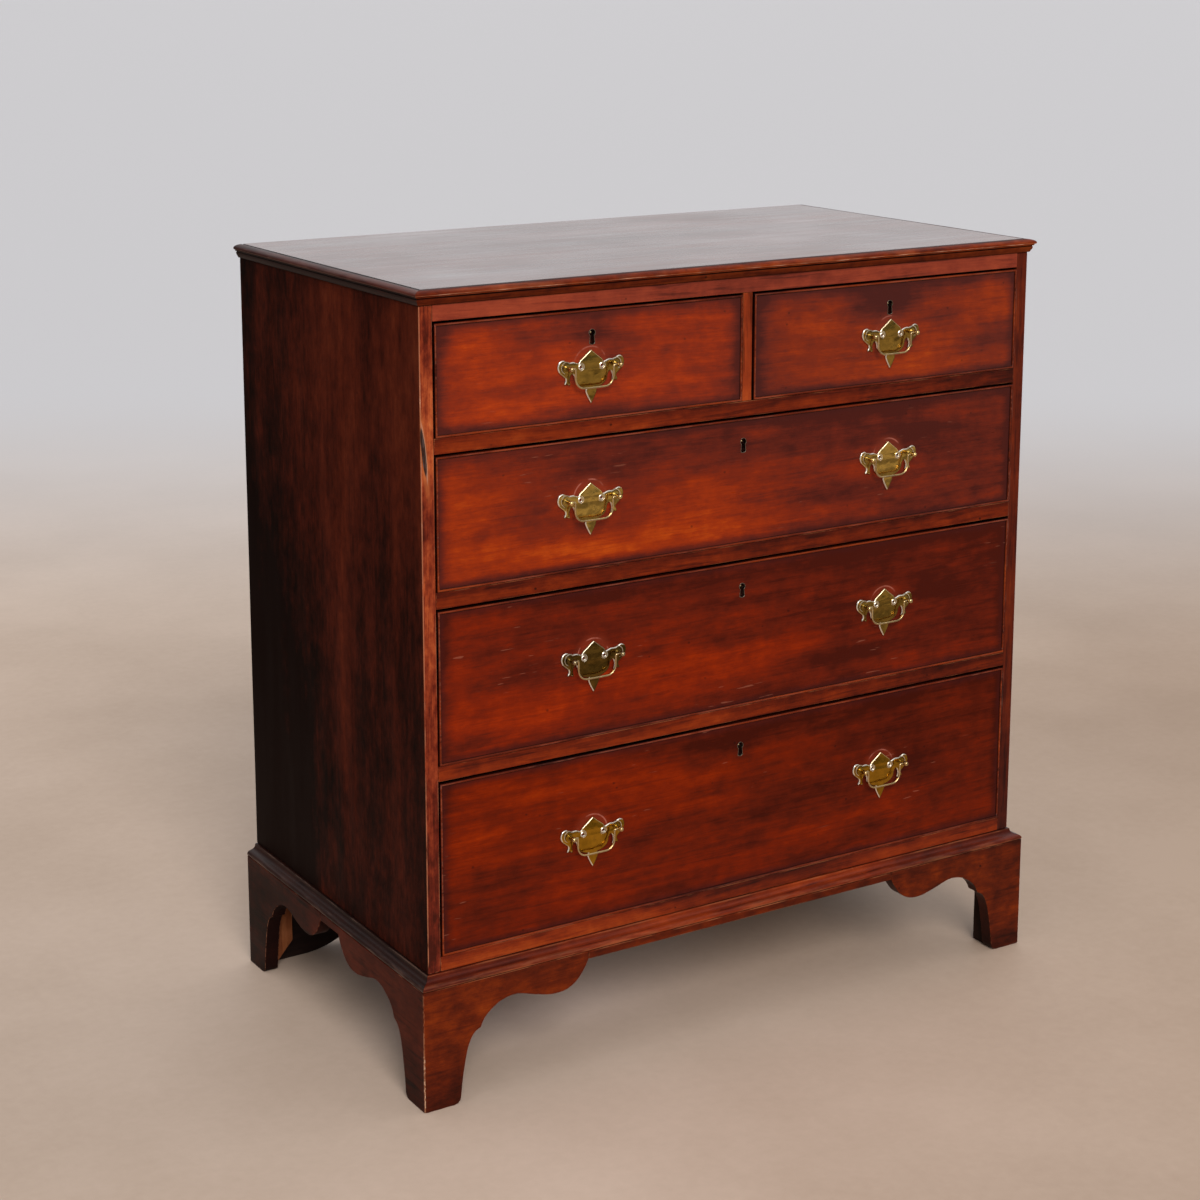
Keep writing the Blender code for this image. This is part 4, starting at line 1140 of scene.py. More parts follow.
def plain_bracket():
    """Outline of the plain brackets that face the back."""
    line = smooth_curve([(80.0, 0.3), (100.0, 3.2), (123.0, 10.0),
                         (150.0, 24.0), (175.0, 48.0), (200.0, 85.0),
                         (222.0, 120.0), (236.0, 147.0)], 4)
    return [(0.0, 0.3 * MM), (40.0 * MM, 0.0)] + \
        [(u * MM, z * MM) for u, z in line] + \
        [(236.0 * MM, Z_BRACKET - GAP), (0.0, Z_BRACKET - GAP)]


def bracket_face(strip=None, seed=0.0):
    """A bracket's outline from its outer corner, chipped at the floor."""
    pts = [(0.0, 2.4 * MM), (1.6 * MM, 0.6 * MM), (5.0 * MM, 0.0),
           (14 * MM, 0.3 * MM), (22 * MM, 0.0), (33 * MM, 0.5 * MM),
           (41 * MM, 0.1 * MM), (46.5 * MM, 1.6 * MM), (49.6 * MM, 4.4 * MM)]
    line = bracket_curve()
    pts += [(u + 0.25 * MM * wobble((u, z, seed), 60.0, seed), z)
            for u, z in line]
    end = line[-1][0]
    if strip is not None:
        pts.append((strip, RAIL_LOW))
        end = strip
    pts += [(end, Z_BRACKET - GAP), (0.0, Z_BRACKET - GAP)]
    return pts


def mitred(bm, corner, normal):
    """Keeps the side of the mitre plane that the normal points away from."""
    out = bmesh.ops.bisect_plane(
        bm, geom=bm.verts[:] + bm.edges[:] + bm.faces[:], plane_co=corner,
        plane_no=normal, clear_outer=True)
    edges = [e for e in out["geom_cut"] if isinstance(e, bmesh.types.BMEdge)]
    bmesh.ops.holes_fill(bm, edges=edges)
    return bm


def mark_round(bm, amount, axis):
    """Marks the rounded strips beside a board's two flat faces as rubbed."""
    layer = wear_dirt_and_light_layer(bm)
    bm.normal_update()
    for f in bm.faces:
        if 0.12 < abs(f.normal[axis]) < 0.96:
            f[layer] = amount
    return bm


def darkened_sawn_edges(bm, axis):
    """Marks the sawn faces under a bracket to be drawn near-black."""
    layer = wear_dirt_and_light_layer(bm)
    for f in bm.faces:
        c = f.calc_center_median()
        if abs(f.normal[axis]) < 0.08 and 6 * MM < c.z < 150 * MM and \
                f.normal.z < 0.3 and f.calc_area() < 0.0018:
            f[layer] = -0.85
    return bm


def blunted(bm, corner, outward, depth, mark=2.0):
    """Takes the sharp arris off a mitred corner, and marks the new face."""
    layer = wear_dirt_and_light_layer(bm)
    out = bmesh.ops.bisect_plane(
        bm, geom=bm.verts[:] + bm.edges[:] + bm.faces[:],
        plane_co=Vector(corner) - outward * depth, plane_no=outward,
        clear_outer=True)
    edges = [e for e in out["geom_cut"] if isinstance(e, bmesh.types.BMEdge)]
    new = bmesh.ops.holes_fill(bm, edges=edges)
    strip = new["faces"]
    for f in strip:
        f[layer] = mark
    for z in (0.045, 0.075, 0.105, 0.130):
        faces = [f for f in bm.faces if f[layer] >= mark]
        geom = faces + list({e for f in faces for e in f.edges}) + \
            list({v for f in faces for v in f.verts})
        bmesh.ops.bisect_plane(bm, geom=geom, plane_co=(0, 0, z),
                               plane_no=(0, 0, 1))
    for f in bm.faces:
        if f[layer] >= mark:
            h = f.calc_center_median().z
            f[layer] = mark if h < 0.075 else (1.35 if h < 0.105 else 0.9)
    return bm


def foot(name, sx, front):
    x_out = sx * (W / 2 + P)
    y_out = YF - P if front else YB
    sy = 1 if front else -1
    seed = 3.0 + sx + 2.0 * sy
    span = D + P
    side_arm = span - ARM - GAP if front else None
    corner = (x_out, y_out, 0.0)
    outward = Vector((sx, -sy, 0.0)).normalized()
    tag = "visual_" + name
    mat_f = M_FOOT if front else M_FOOT_BACK
    # board facing the front or the back
    ys = sorted((y_out, y_out + sy * BRACKET_T))
    shape = bracket_face(None, seed) if front else plain_bracket()
    pts = [(x_out - sx * u, z) for u, z in shape]
    bm = flat_shape(tag, [pts], ys[0], ys[1], "XZ", bevel=0.8 * MM,
                    segments=2)
    mark_round(bm, 1.0, 1)
    darkened_sawn_edges(bm, 1)
    mitred(bm, corner, Vector((sx, sy, 0)).normalized())
    blunted(bm, corner, outward, 1.0 * MM)
    to_object(tag + "_face", bm, mat_f, "case",
              (name,), angle=35)
    # board along the side
    xs = sorted((x_out, x_out - sx * BRACKET_T))
    pts = [(y_out + sy * u, z) for u, z in bracket_face(side_arm,
                                                        seed + 5.0)]
    bm = flat_shape(tag, [pts], xs[0], xs[1], "YZ", bevel=0.8 * MM,
                    segments=2)
    mark_round(bm, 1.0, 0)
    darkened_sawn_edges(bm, 0)
    mitred(bm, corner, Vector((-sx, -sy, 0)).normalized())
    blunted(bm, corner, outward, 1.0 * MM)
    to_object(tag + "_return", bm, M_FOOT_Z, "case", (),
              angle=35)
    # glued block behind; the front ones take near-black wood as painted shade
    a, b = sorted((x_out - sx * (BRACKET_T + 0.1 * MM),
                   x_out - sx * 45.6 * MM))
    c, d = sorted((y_out + sy * (BRACKET_T + 0.1 * MM),
                   y_out + sy * 45.6 * MM))
    bm = round_edges(cube((a, c, 0.8 * MM), (b, d, Z_BRACKET - 2 * GAP)),
                     1.2 * MM)
    if not front:
        # a chopped lower end, rising away from the side board
        for v in bm.verts:
            if v.co.z < 20 * MM:
                u = abs(v.co.x - x_out) - BRACKET_T
                v.co.z += 8 * MM + u * 1.15
    slice_up(bm, 2, 0.0, Z_BRACKET, 12)
    for v in bm.verts:
        v.co += Vector((wobble(v.co, 40.0, seed), wobble(v.co, 40.0,
                                                         seed + 3.0),
                        0.0)) * 0.35 * MM
    to_object(tag + "_block", bm, M_BLOCK_DARK if front else M_BLOCK, "case",
              ())


foot("foot_front_left", -1, True)
foot("foot_front_right", 1, True)
foot("foot_rear_left", -1, False)
foot("foot_rear_right", 1, False)
x = XL - P + ARM + GAP
board("visual_base_rail", (x, YF - P, RAIL_LOW),
      (-x, YF - P + BRACKET_T, Z_BRACKET - GAP), M_FOOT, "case",
      ("base_rail_front",), r=0.9 * MM, cuts=(20, 1, 1), bend=0.15 * MM,
      bend_axis=2)


# ----------------------------------------------------------------- drawers --
def keyhole(xk, zk, grow=0.0, steps=14):
    """Outline of a keyhole about its round head."""
    r, drop_, foot_w = 4.2 * MM + grow, 14.0 * MM + grow, 3.7 * MM + grow
    pts = []
    for i in range(steps + 1):
        t = radians(-50 + 280 * i / steps)
        pts.append((xk + r * cos(t), zk + r * sin(t)))
    pts.append((xk - foot_w + 0.5 * MM, zk - drop_ + 4.6 * MM))
    for i in range(9):
        t = radians(190 + 160 * i / 8)
        pts.append((xk + foot_w * cos(t),
                    zk - drop_ + 2.6 * MM + 2.6 * MM * sin(t)))
    pts.append((xk + foot_w - 0.5 * MM, zk - drop_ + 4.6 * MM))
    return pts


def drawer(n, x0, x1, tier, xk, zk, handles, patches, seed, ring, gloss,
           tones, metals):
    body = "drawer_%d" % n
    z0 = TIERS[tier][0] + GAP
    z1 = TIERS[tier][1] - TOP_GAP[tier]
    y_in = FACE + FRONT_T
    mat = front_wood(body + "_front_wood", seed, x0 + BEAD_T, x1 - BEAD_T,
                     z0 + BEAD_T, z1 - BEAD_T, patches,
                     [(hx, hz, r, k) for (_, hx, hz), (r, k)
                      in zip(handles, ring)], gloss, tones)
    # the front board: sockets for the sides' tails, and the keyhole
    e = 0.12 * MM
    bm = cube((x0 + e, FACE, z0 + e), (x1 - e, y_in, z1 - e))
    slice_up(bm, 0, x0, x1, max(10, int((x1 - x0) / 0.022)))
    slice_up(bm, 2, z0, z1, max(5, int((z1 - z0) / 0.022)))
    for v in bm.verts:
        if v.co.y < FACE + 1 * MM:
            v.co.y += 0.16 * MM * wobble(v.co, 11.0, seed) \
                + 0.18 * MM * wobble(v.co, 4.0, seed + 4.0)
    front = loose("visual_%s_front" % body, bm)
    cuts = []
    for s in ("left", "right"):
        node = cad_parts["%s_side_%s" % (body, s)]
        helper = bpy.data.objects.new("helper", node.data.copy())
        bpy.context.scene.collection.objects.link(helper)
        cuts.append(helper)
    hole = loose("hole", flat_shape("hole", [keyhole(xk, zk)],
                                    FACE - 3 * MM, FACE + 9 * MM, "XZ"))
    applied(front, cuts + [hole])
    drop(hole, *cuts)
    # painted shade: the walls inside the keyhole are marked to darken to near-black
    inside = front.data.attributes.get("wear_dirt_and_painted_light") or \
        front.data.attributes.new("wear_dirt_and_painted_light", "FLOAT", "FACE")
    for f in front.data.polygons:
        near_hole = abs(f.center.x - xk) < 6 * MM and \
            -16 * MM < f.center.z - zk < 6 * MM
        inside.data[f.index].value = -1.0 \
            if near_hole and abs(f.normal.y) < 0.5 else 0.0
    dress(front, mat, body, (body + "_front",), angle=30)
    # cock bead: a strip with a rounded nose let in all round the front
    r = BEAD_T / 2
    prof = [(0.0, FACE + 9 * MM), (0.0, FACE - 0.2 * MM)]
    for i in range(1, 8):
        t = radians(180 - 22.5 * i)
        prof.append((r + r * cos(t), FACE - 0.3 * MM - r * sin(t)))
    prof += [(BEAD_T, FACE - 0.2 * MM), (BEAD_T, FACE + 9 * MM)]
    # painted shade on the bead's two sides, in the gap and against the field; the crown is marked
    # as rubbed
    marks = [-1.0, -0.9, -0.5, 0.2, 1.0, 0.8, 0.0, -0.2, -0.6, -0.9, 0.0]
    run("visual_%s_bead" % body, prof,
        [lambda a, y: (x0 + a, y, z0 + a), lambda a, y: (x1 - a, y, z0 + a),
         lambda a, y: (x1 - a, y, z1 - a), lambda a, y: (x0 + a, y, z1 - a)],
        M_BEAD, body, (), steps=26, wear_dirt_and_painted_light=marks,
        ripple=0.12 * MM, seed=seed, closed=True, angle=60)
    # thread escutcheon, the lock's face seen through the hole, and its pin
    ring_out = keyhole(xk, zk, 0.70 * MM)
    ring_in = keyhole(xk, zk, 0.0)
    bm = flat_shape("thread", [ring_out, list(reversed(ring_in))],
                    FACE - 0.35 * MM, FACE + 6 * MM, "XZ", bevel=0.2 * MM,
                    segments=1)
    to_object("visual_%s_escutcheon" % body, bm, M_THREAD, body)
    bm = round_edges(cube((xk - 30 * MM, y_in - 9 * MM, zk - 24 * MM),
                          (xk + 30 * MM, y_in + 4.2 * MM, zk + 16 * MM)),
                     1.2 * MM, 2)
    to_object("visual_%s_lock" % body, bm, M_IRON, body)
    bm = turned([(0, 0), (0.7 * MM, 0.1 * MM), (1.15 * MM, 0.6 * MM),
                 (1.2 * MM, 1.4 * MM), (1.2 * MM, 8 * MM), (0, 8 * MM)],
                (xk, y_in - 16.6 * MM, zk + 0.2 * MM))
    to_object("visual_%s_lock_pin" % body, bm, M_BAIL, body,
              weighted=False)
    # drawer box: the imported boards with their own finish
    for part_name, m in (("side_left", M_OAK), ("side_right", M_OAK),
                         ("back", M_OAK_X), ("bottom", M_OAK_X)):
        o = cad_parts["%s_%s" % (body, part_name)]
        o.data.materials.clear()
        o.data.materials.append(m)
    for (label, hx, hz), metal in zip(handles, metals):
        handle(body, body + ("_" + label if label else ""), hx, hz, metal)


# ----------------------------------------------------------------- handles --
def plate_loops():
    arch = [(0.0, 19.8), (2.2, 18.2), (4.8, 16.1), (7.2, 14.1),
            (9.8, 12.0), (12.0, 10.3), (14.0, 8.8), (15.4, 7.5),
            (16.3, 6.2), (16.7, 5.0)]
    ear = smooth_curve([(17.6, 4.3), (20.4, 5.4), (24.6, 6.8), (30.4, 6.6),
                        (34.6, 8.2), (38.2, 9.8), (41.6, 9.3), (44.6, 7.0),
                        (46.3, 1.2), (44.2, -4.9), (39.7, -8.9),
                        (35.9, -12.2)], 4)
    leg = smooth_curve([(35.9, -12.2), (35.4, -15.0), (37.0, -18.6),
                        (36.0, -20.0), (33.0, -19.6), (30.0, -20.9),
                        (28.2, -20.4), (29.0, -17.0), (29.3, -13.4),
                        (27.9, -9.6), (26.3, -8.0), (25.0, -8.6),
                        (23.2, -11.6)], 3)
    body = smooth_curve([(23.2, -11.6), (22.6, -15.6), (20.7, -19.4),
                         (17.2, -22.6), (12.8, -24.8), (9.6, -25.8),
                         (7.3, -26.2)], 3)
    leaf = smooth_curve([(7.0, -26.7), (7.9, -28.6), (7.6, -31.2),
                         (5.8, -35.4), (3.2, -40.2), (1.2, -43.6)], 3)
    right = arch + ear[:-1] + leg[:-1] + body + leaf
    right = [(a * 1.025 * MM, b * (1.035 if b < 0 else 1.0) * MM)
             for a, b in right]
    left = [(-a, b) for a, b in reversed(right[1:])]
    outline = right + [(0.0, -46.5 * MM)] + left
    holes = []
    for s in (-1, 1):
        holes.append([(s * 15.0 * MM + 1.75 * MM * cos(radians(30 * k)),
                       -0.3 * MM + 1.75 * MM * sin(radians(30 * k)))
                      for k in range(12)])
    return [outline] + holes


def ring(major, minor, centre, start=None, end=None, n=22, m=8):
    """A round wire laid as a circle, or as an arc with thinning ends."""
    whole = start is None
    a0, a1 = (0.0, 360.0) if whole else (start, end)
    pts, radii = [], []
    for k in range(n + 1):
        t = radians(a0 + (a1 - a0) * k / n)
        pts.append((centre[0] + major * cos(t), centre[1],
                    centre[2] + major * sin(t)))
        radii.append(minor if whole
                     else minor * (0.15 + 0.85 * sin(pi * k / n) ** 0.5))
    bm = rod(pts, radii, m, caps=not whole)
    if whole:
        bmesh.ops.remove_doubles(bm, verts=bm.verts, dist=0.03 * MM)
    return bm


def handle(body, tag, hx, hz, metal):
    y_face = FACE - 0.1 * MM
    y_axis = FACE - AXIS_OUT
    t = 2.3 * MM
    loops = [[(hx + a, hz + b) for a, b in loop] for loop in plate_loops()]
    bm = flat_shape("plate", loops, y_face - t, y_face + 1.0 * MM, "XZ",
                    bevel=1.5 * MM, segments=3)
    front = y_face - t
    layer = wear_dirt_and_light_layer(bm)
    bm.normal_update()
    for f in bm.faces:
        if -0.985 < f.normal.y < -0.10:
            # painted highlight where the rim faces up or left, painted shade where it turns away
            lit = (0.75 * f.normal.z - f.normal.x) / \
                max((f.normal.x ** 2 + f.normal.z ** 2) ** 0.5, 1e-6)
            f[layer] = 1.8 if lit > 0.35 else (0.8 if lit > -0.3 else
                                               (-0.25 if lit > -0.8
                                                else -0.7))
            # painted highlight on the left of the arch, painted shade on the body's lower rim
            # above the bail and on the faces turned to the back
            c = f.calc_center_median()
            if abs(c.x - hx) < 16.5 * MM and c.z > hz + 5.5 * MM:
                f[layer] = 1.25 if c.x < hx else 0.4
            elif c.z < hz - 14 * MM and abs(c.x - hx) < 22 * MM and \
                    c.z > hz - 26.4 * MM:
                f[layer] = -0.55
        elif f.normal.y > -0.2:
            f[layer] = -0.6
    for s in (-1, 1):
        eye = (hx + s * 15.0 * MM, front + 0.1 * MM, hz - 0.3 * MM)
        eye_ring = ring(2.8 * MM, 1.15 * MM, eye)
        marks = wear_dirt_and_light_layer(eye_ring)
        eye_ring.normal_update()
        # painted highlight: the side of each eye ring towards the light is near-white
        for f in eye_ring.faces:
            away = f.calc_center_median()
            lit = (eye[0] - away.x) + 0.6 * (eye[2] - away.z)
            f[marks] = 2.0 if lit > -1.2 * MM else 1.2
        merge(bm, eye_ring)
        outer = ring(4.7 * MM, 0.62 * MM, eye,
                     -150 if s > 0 else -95, 95 if s > 0 else 150)
        marks = wear_dirt_and_light_layer(outer)
        # painted highlight along the outer ring
        for f in outer.faces:
            f[marks] = 1.5
        merge(bm, outer)
        # the scroll of each ear, round its post
        scroll = ring(7.3 * MM, 0.62 * MM,
                      (hx + s * POST, front + 0.15 * MM, hz + 0.2 * MM),
                      -75 if s > 0 else 40, 140 if s > 0 else 255)
        marks = wear_dirt_and_light_layer(scroll)
        # painted highlight along the scroll
        for f in scroll.faces:
            f[marks] = 1.5
        merge(bm, scroll)
        hollow = ring(5.9 * MM, 0.75 * MM,
                      (hx + s * POST, front + 0.50 * MM, hz + 0.1 * MM),
                      -95 if s > 0 else 20, 160 if s > 0 else 275)
        marks = wear_dirt_and_light_layer(hollow)
        # painted shade in the hollow beside the scroll
        for f in hollow.faces:
            f[marks] = -0.9
        merge(bm, hollow)
        # turned post: collar, neck, drilled boss and ball
        prof = [(0.0, -1.0), (4.4, -1.0), (4.4, -2.3), (4.1, -2.8),
                (3.3, -3.1), (2.9, -3.4), (3.3, -3.9), (3.2, -4.4),
                (2.3, -4.9), (2.0, -6.2), (2.1, -7.3), (2.7, -8.0),
                (2.85, -9.0), (2.85, -11.4), (2.5, -12.0), (1.7, -12.3)]
        prof = [(r * MM, y * MM) for r, y in prof]
        for k in range(1, 10):
            a = radians(-52 + 15.8 * k)
            prof.append((BALL_R * cos(a), -BALL_OUT - BALL_R * sin(a)))
        prof.append((0.0, -BALL_OUT - BALL_R))
        post = turned(prof, (hx + s * POST, FACE, hz))
        # painted highlight on the ball, painted shade on the collar and neck
        marks = wear_dirt_and_light_layer(post)
        for f in post.faces:
            away = FACE - f.calc_center_median().y
            f[marks] = 0.6 if away > 12.4 * MM else \
                (-0.55 if away > 3.6 * MM else -0.35)
        merge(bm, post)
    to_object("visual_%s_plate" % tag, bm, metal, body,
              (tag + "_handle_plate",), angle=32, weighted=False)
    # bail
    pts = [(POST - 0.6 * MM, 0.0), (BAIL_ARM + 3.2 * MM, 0.0)]
    rad = [1.15 * MM, 1.2 * MM]
    for i in range(1, 7):
        a = radians(15 * i)
        pts.append((BAIL_ARM + 2.2 * MM * (1 - sin(a)),
                    -2.2 * MM * (1 - cos(a))))
        rad.append(1.3 * MM)
    pts.append((BAIL_ARM, -6.5 * MM))
    rad.append(1.35 * MM)
    r = 12.5 * MM
    for i in range(10):
        a = radians(-10 * i)
        pts.append((BAIL_ARM - r + r * cos(a), -BAIL_DROP + r + r * sin(a)))
        rad.append((1.22 + 0.03 * i / 9) * MM)
    pts += [(6.0 * MM, -BAIL_DROP - 0.1 * MM)]
    rad += [1.28 * MM]
    pts = pts + [(-a, b) for a, b in reversed(pts)]
    rad = rad + list(reversed(rad))
    bm = rod([(hx + a, y_axis, hz + b) for a, b in pts], rad, 14)
    to_object("visual_%s_bail" % tag, bm, M_BAIL, tag + "_bail",
              (tag + "_bail",), angle=50, weighted=False)
    # square nuts on the posts, inside the drawer
    bm = bmesh.new()
    y_in = FACE + FRONT_T
    for s in (-1, 1):
        nut = round_edges(cube((hx + s * POST - 5 * MM, y_in,
                                hz - 5 * MM),
                               (hx + s * POST + 5 * MM, y_in + 2.6 * MM,
                                hz + 5 * MM)), 0.6 * MM)
        merge(bm, nut)
        merge(bm, turned([(0, -2 * MM), (1.7 * MM, -2 * MM),
                          (1.7 * MM, 5.4 * MM), (1.3 * MM, 6.0 * MM),
                          (0, 6.1 * MM)],
                         (hx + s * POST, y_in, hz), 14))
    to_object("visual_%s_nuts" % tag, bm, M_IRON, body)


def at(x_mm):
    return XL + x_mm * MM


drawer(1, at(19.7), at(458.0), 3, at(235.8), 945.4 * MM,
       [("", at(233.3), 905.5 * MM)],
       [(240, 944, 40, 18, -0.44), (320, 968, 52, 16, -0.04),
        (165, 905, 60, 34, 0.12), (80, 862, 60, 16, 0.14),
        (250, 872, 80, 20, 0.14), (36, 940, 26, 46, -0.12),
        (360, 892, 80, 26, 0.20), (446, 905, 20, 70, -0.22),
        (425, 860, 46, 12, -0.04), (64, 944, 38, 18, 0.32),
        (151, 948, 42, 24, -0.24), (151, 886, 42, 32, -0.10),
        (327, 884, 44, 14, 0.12)],
       31.0, [(0.0235, 0.7)], 0.25, tinted(MAHOG, 1.24, 1.04, 0.70),
       [M_BRASS[0]])
drawer(2, at(476.2), at(911.3), 3, at(694.2), 944.6 * MM,
       [("", at(695.5), 905.0 * MM)],
       [(560, 905, 80, 34, 0.20), (850, 918, 56, 32, 0.02),
        (700, 872, 120, 20, 0.10), (682, 952, 62, 28, -0.20),
        (780, 964, 70, 20, -0.10), (492, 900, 16, 70, -0.14),
        (694, 948, 50, 20, -0.40), (780, 920, 42, 18, -0.34),
        (868, 882, 44, 32, -0.34), (868, 960, 30, 14, 0.18),
        (780, 888, 34, 10, 0.16), (780, 862, 48, 9, -0.20)],
       34.0, [(0.0235, 0.6)], 0.26, tinted(MAHOG, 1.04, 0.98, 0.80),
       [M_BRASS[0]])
LONG = (at(19.6), at(911.2))
drawer(3, LONG[0], LONG[1], 2, at(461.8), 786.0 * MM,
       [("left", at(232.5), 741.0 * MM), ("right", at(696.0), 741.0 * MM)],
       [(215, 681, 180, 22, 0.34), (58, 735, 44, 54, 0.18),
        (480, 690, 130, 26, 0.18), (300, 782, 190, 28, -0.32),
        (226, 748, 90, 34, -0.20), (150, 726, 70, 18, -0.12),
        (430, 730, 90, 30, 0.10), (860, 740, 160, 84, -0.38),
        (690, 782, 150, 34, -0.22), (640, 804, 100, 16, -0.46), (780, 802, 32, 12, 0.22),
        (598, 703, 104, 17, -0.48), (770, 668, 150, 20, -0.28),
        (688, 766, 56, 18, -0.14), (599, 736, 60, 14, -0.16),
        (242, 735, 40, 14, 0.38), (332, 767, 50, 14, 0.18),
        (332, 671, 46, 12, -0.18), (462, 706, 56, 14, -0.16),
        (246, 704, 50, 12, -0.20)],
       37.0, [(0.0235, 1.0), (0.0235, 0.9)], 0.20,
       tinted(MAHOG, 1.06, 0.88, 0.60), [M_BRASS[1], M_BRASS[1]])
drawer(4, LONG[0], LONG[1], 1, at(462.8), 595.4 * MM,
       [("left", at(237.0), 539.5 * MM), ("right", at(696.0), 539.5 * MM)],
       [(245, 489, 200, 18, 0.10), (84, 604, 60, 18, 0.26),
        (405, 515, 90, 14, 0.12), (205, 562, 84, 40, -0.26),
        (112, 524, 100, 11, -0.18), (385, 590, 130, 22, -0.16),
        (560, 612, 340, 18, -0.16), (880, 530, 180, 104, -0.40),
        (84, 556, 80, 32, -0.34), (150, 536, 46, 16, -0.16),
        (600, 566, 120, 60, -0.30), (690, 592, 70, 34, -0.20),
        (242, 480, 60, 20, -0.24), (644, 478, 84, 30, -0.42),
        (153, 512, 46, 20, -0.24), (64, 458, 36, 12, -0.20),
        (421, 572, 56, 20, -0.18), (777, 550, 44, 30, -0.24),
        (866, 609, 40, 14, -0.20),
        (245, 609, 50, 14, -0.18), (421, 496, 50, 12, 0.10)],
       40.0, [(0.0225, 1.0), (0.0225, 0.8)], 0.12,
       tinted(MAHOG, 0.96, 0.66, 0.30), [M_BRASS[2], M_BRASS[0]])
drawer(5, LONG[0], LONG[1], 0, at(463.0), 381.1 * MM,
       [("left", at(235.5), 309.5 * MM), ("right", at(696.0), 309.5 * MM)],
       [(190, 326, 110, 30, -0.14), (160, 250, 130, 40, 0.06),
        (400, 392, 210, 15, -0.24), (60, 240, 50, 50, -0.12),
        (421, 347, 44, 14, 0.16), (720, 306, 100, 18, -0.32),
        (421, 392, 40, 12, -0.14), (599, 390, 46, 12, -0.18),
        (510, 248, 40, 20, -0.18), (590, 216, 46, 11, -0.15),
        (688, 260, 54, 14, 0.12), (777, 218, 60, 14, 0.16),
        (500, 392, 300, 18, -0.14), (560, 300, 200, 90, -0.12),
        (860, 310, 180, 112, -0.32), (460, 212, 300, 18, -0.06)],
       43.0, [(0.0225, 0.9), (0.0225, 0.8)], 0.07,
       tinted(MAHOG, 0.80, 0.56, 0.24), [M_BRASS[3], M_BRASS[3]])

# ---------------------------------------------------------- floor and light --
g = Graph("studio_floor")
n1 = g.noise(g.place, scale=1.6, detail=6.0, rough=0.6)
n2 = g.noise(g.place, scale=60.0, detail=3.0, rough=0.6)
near = g.ramp(g.add(g.mul(n1, 0.8), g.mul(n2, 0.2)),
              [(0.34, (0.445, 0.335, 0.256)), (0.64, (0.530, 0.408, 0.322))])
# paler far off behind, and darker well to the sides, outside the picture
along = g.add(g.mul(g.x, 0.53), g.mul(g.y, 0.85))
near = g.mix(g.step(g.sub(g.x, g.mul(g.y, 0.62)), -0.5, 1.5), near,
             (0.775, 0.725, 0.675), "MULTIPLY")
far = g.step(along, 1.1, 4.4)
col = g.mix(far, near, (0.525, 0.515, 0.530))
right_of = g.sub(g.mul(g.add(g.x, 1.714), 0.669),
                 g.mul(g.add(g.y, 2.639), 0.743))
bands = g.ramp(g.math("DIVIDE", g.sub(-0.45, g.y), 5.0, clamp=True),
               [(0.00, (0.30, 0.235, 0.178)), (0.05, (0.27, 0.210, 0.158)),
                (0.14, (0.24, 0.185, 0.138)), (0.20, (0.13, 0.102, 0.080)),
                (0.36, (0.13, 0.102, 0.080)), (0.44, (0.43, 0.345, 0.268)),
                (0.66, (0.38, 0.305, 0.236)), (0.80, (0.29, 0.230, 0.178))])
col = g.mix(g.step(right_of, 0.03, 0.62), col, bands)
left_of = g.sub(g.mul(g.add(g.y, 2.639), 0.292),
                g.mul(g.add(g.x, 1.714), 0.956))
col = g.mix(g.mul(g.step(left_of, 0.03, 0.70), g.step(g.y, -0.7, 0.3)), col,
            (0.190, 0.148, 0.120))
# painted light: the floor is brightened round the chest, lifting its shadow
rx = g.mul(g.add(g.x, 0.30), 1.25)
ry = g.mul(g.add(g.y, 0.50), 1.9)
painted_light_lift = g.math("EXPONENT", g.mul(g.add(g.mul(rx, rx), g.mul(ry, ry)), -1.0))
col = g.mix(painted_light_lift, col, (1.20, 1.20, 1.23), "MULTIPLY")
# painted light: brighter still just under the front of the case, where its shadow falls
rx = g.mul(g.add(g.x, 0.22), 6.0)
ry = g.mul(g.add(g.y, 0.06), 12.0)
painted_fill_light = g.math("EXPONENT", g.mul(g.add(g.mul(rx, rx), g.mul(ry, ry)), -1.0))
col = g.mix(painted_fill_light, col, (1.50, 1.58, 1.74), "MULTIPLY")
back = g.mul(g.step(g.y, -0.7, 0.5), g.step(along, 2.0, 1.0))
col = g.mix(g.mul(back, 0.75), col, (0.90, 0.90, 0.915), "MULTIPLY")
floor_mat = g.surface(col, 0.62, specular=0.2)
bm = bmesh.new()
bmesh.ops.create_grid(bm, x_segments=8, y_segments=8, size=60.0)
mesh = bpy.data.meshes.new("studio_floor")
bm.to_mesh(mesh)
bm.free()
floor = bpy.data.objects.new("studio_floor", mesh)
bpy.context.scene.collection.objects.link(floor)
floor.data.materials.append(floor_mat)

world = bpy.data.worlds.new("studio")
bpy.context.scene.world = world
world.use_nodes = True
wn, wl = world.node_tree.nodes, world.node_tree.links


def sky(op, a, b=0.0, c=0.0):
    n = wn.new("ShaderNodeMath")
    n.operation = op
    for s_, v in zip(n.inputs, (a, b, c)):
        if isinstance(v, bpy.types.NodeSocket):
            wl.new(v, s_)
        else:
            s_.default_value = v
    return n.outputs[0]


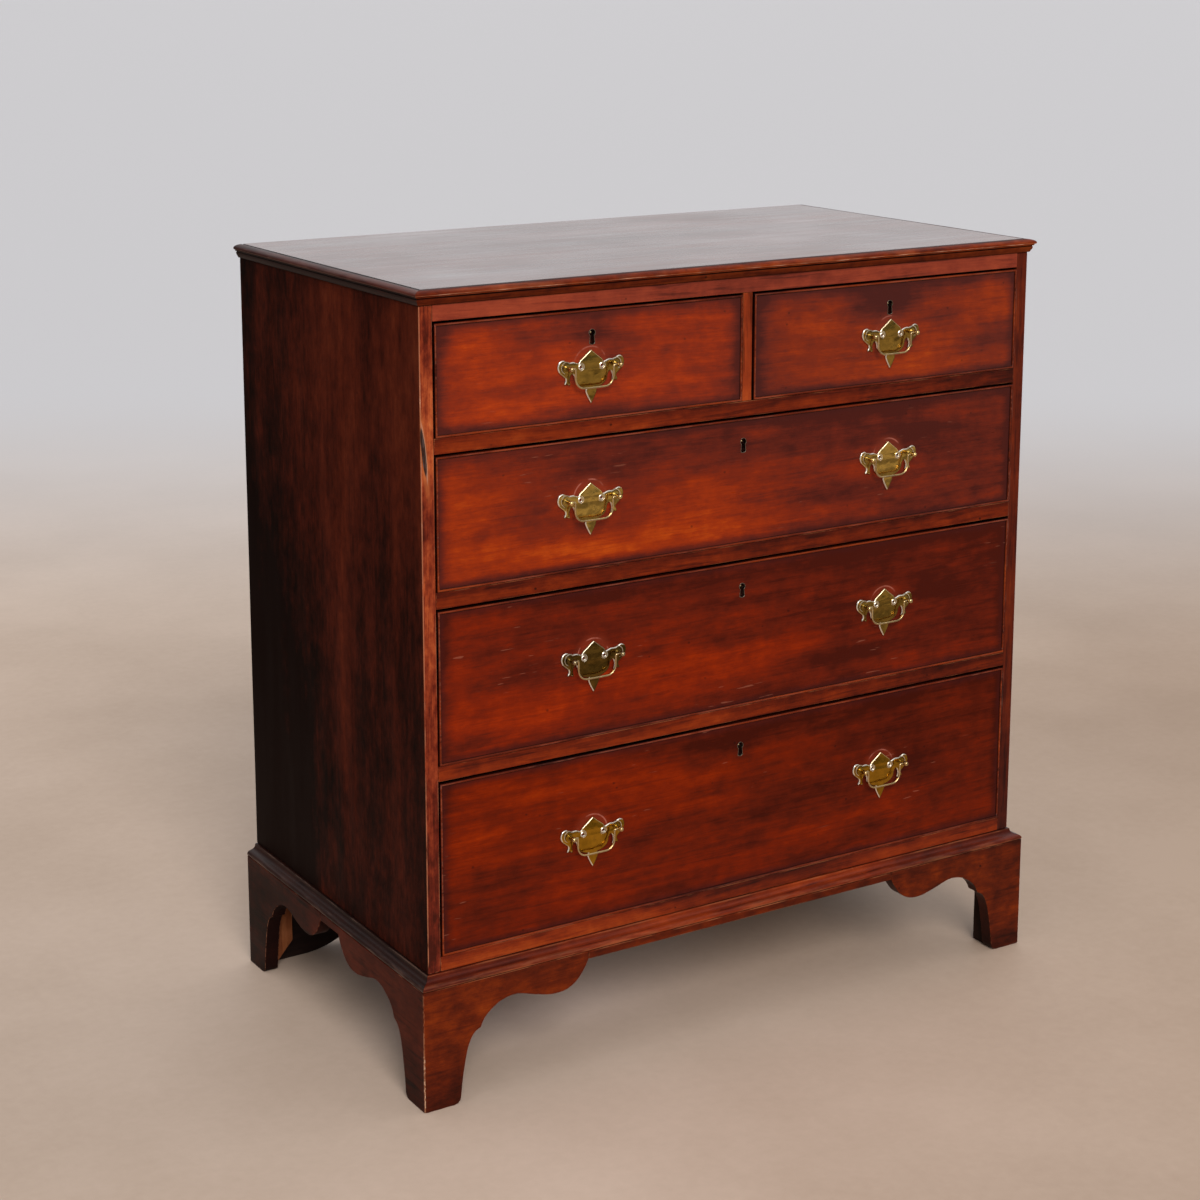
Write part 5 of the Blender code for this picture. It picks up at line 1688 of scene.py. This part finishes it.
def sky_step(v, lo, hi, out0, out1):
    n = wn.new("ShaderNodeMapRange")
    n.interpolation_type = "SMOOTHSTEP"
    wl.new(v, n.inputs[0])
    for s_, val in zip(n.inputs[1:], (lo, hi, out0, out1)):
        s_.default_value = val
    return n.outputs[0]


coord = wn.new("ShaderNodeTexCoord")
split = wn.new("ShaderNodeSeparateXYZ")
wl.new(coord.outputs["Generated"], split.inputs[0])
sx_, sy_, sz_ = split.outputs
# a pale wall behind on the right, dim to the left and in front, soft above
behind = sky("ADD", sky("MULTIPLY", sx_, 0.85), sky("MULTIPLY", sy_, 0.53))
wall = sky_step(behind, 0.20, 0.80, 0.0, 0.73)
above = sky_step(sz_, 0.25, 0.95, 0.0, 0.75)
glow = sky("ADD", sky("ADD", wall, above), 0.13)
wl.new(glow, wn["Background"].inputs["Strength"])
wn["Background"].inputs["Color"].default_value = (0.97, 0.98, 1.0, 1.0)


def area(name, at_, aim, size, power, color=(1, 1, 1)):
    light = bpy.data.lights.new(name, "AREA")
    light.shape = "RECTANGLE"
    light.size, light.size_y = size
    light.energy = power
    light.color = color
    ob = bpy.data.objects.new(name, light)
    bpy.context.scene.collection.objects.link(ob)
    ob.location = at_
    ob.rotation_euler = (Vector(aim) - Vector(at_)).to_track_quat(
        "-Z", "Y").to_euler()
    return ob


sun = bpy.data.lights.new("soft_key", "SUN")
sun.energy = 2.3
sun.angle = radians(28)
sun.color = (1.0, 0.975, 0.94)
key = bpy.data.objects.new("soft_key", sun)
bpy.context.scene.collection.objects.link(key)
key.rotation_euler = Vector((0.26, 0.80, -0.56)).to_track_quat(
    "-Z", "Y").to_euler()

cam = bpy.data.cameras.new("camera")
cam.lens = 70.84
cam.sensor_width = 36.0
cam.shift_x = 0.0044
cam.shift_y = -0.1522
camera = bpy.data.objects.new("camera", cam)
bpy.context.scene.collection.objects.link(camera)
camera.location = (-1.249 + XL, -2.392 + YF, 1.403)
camera.rotation_euler = (radians(78.716), 0.0, radians(-31.887))
bpy.context.scene.camera = camera
bpy.context.scene.view_settings.view_transform = "Standard"
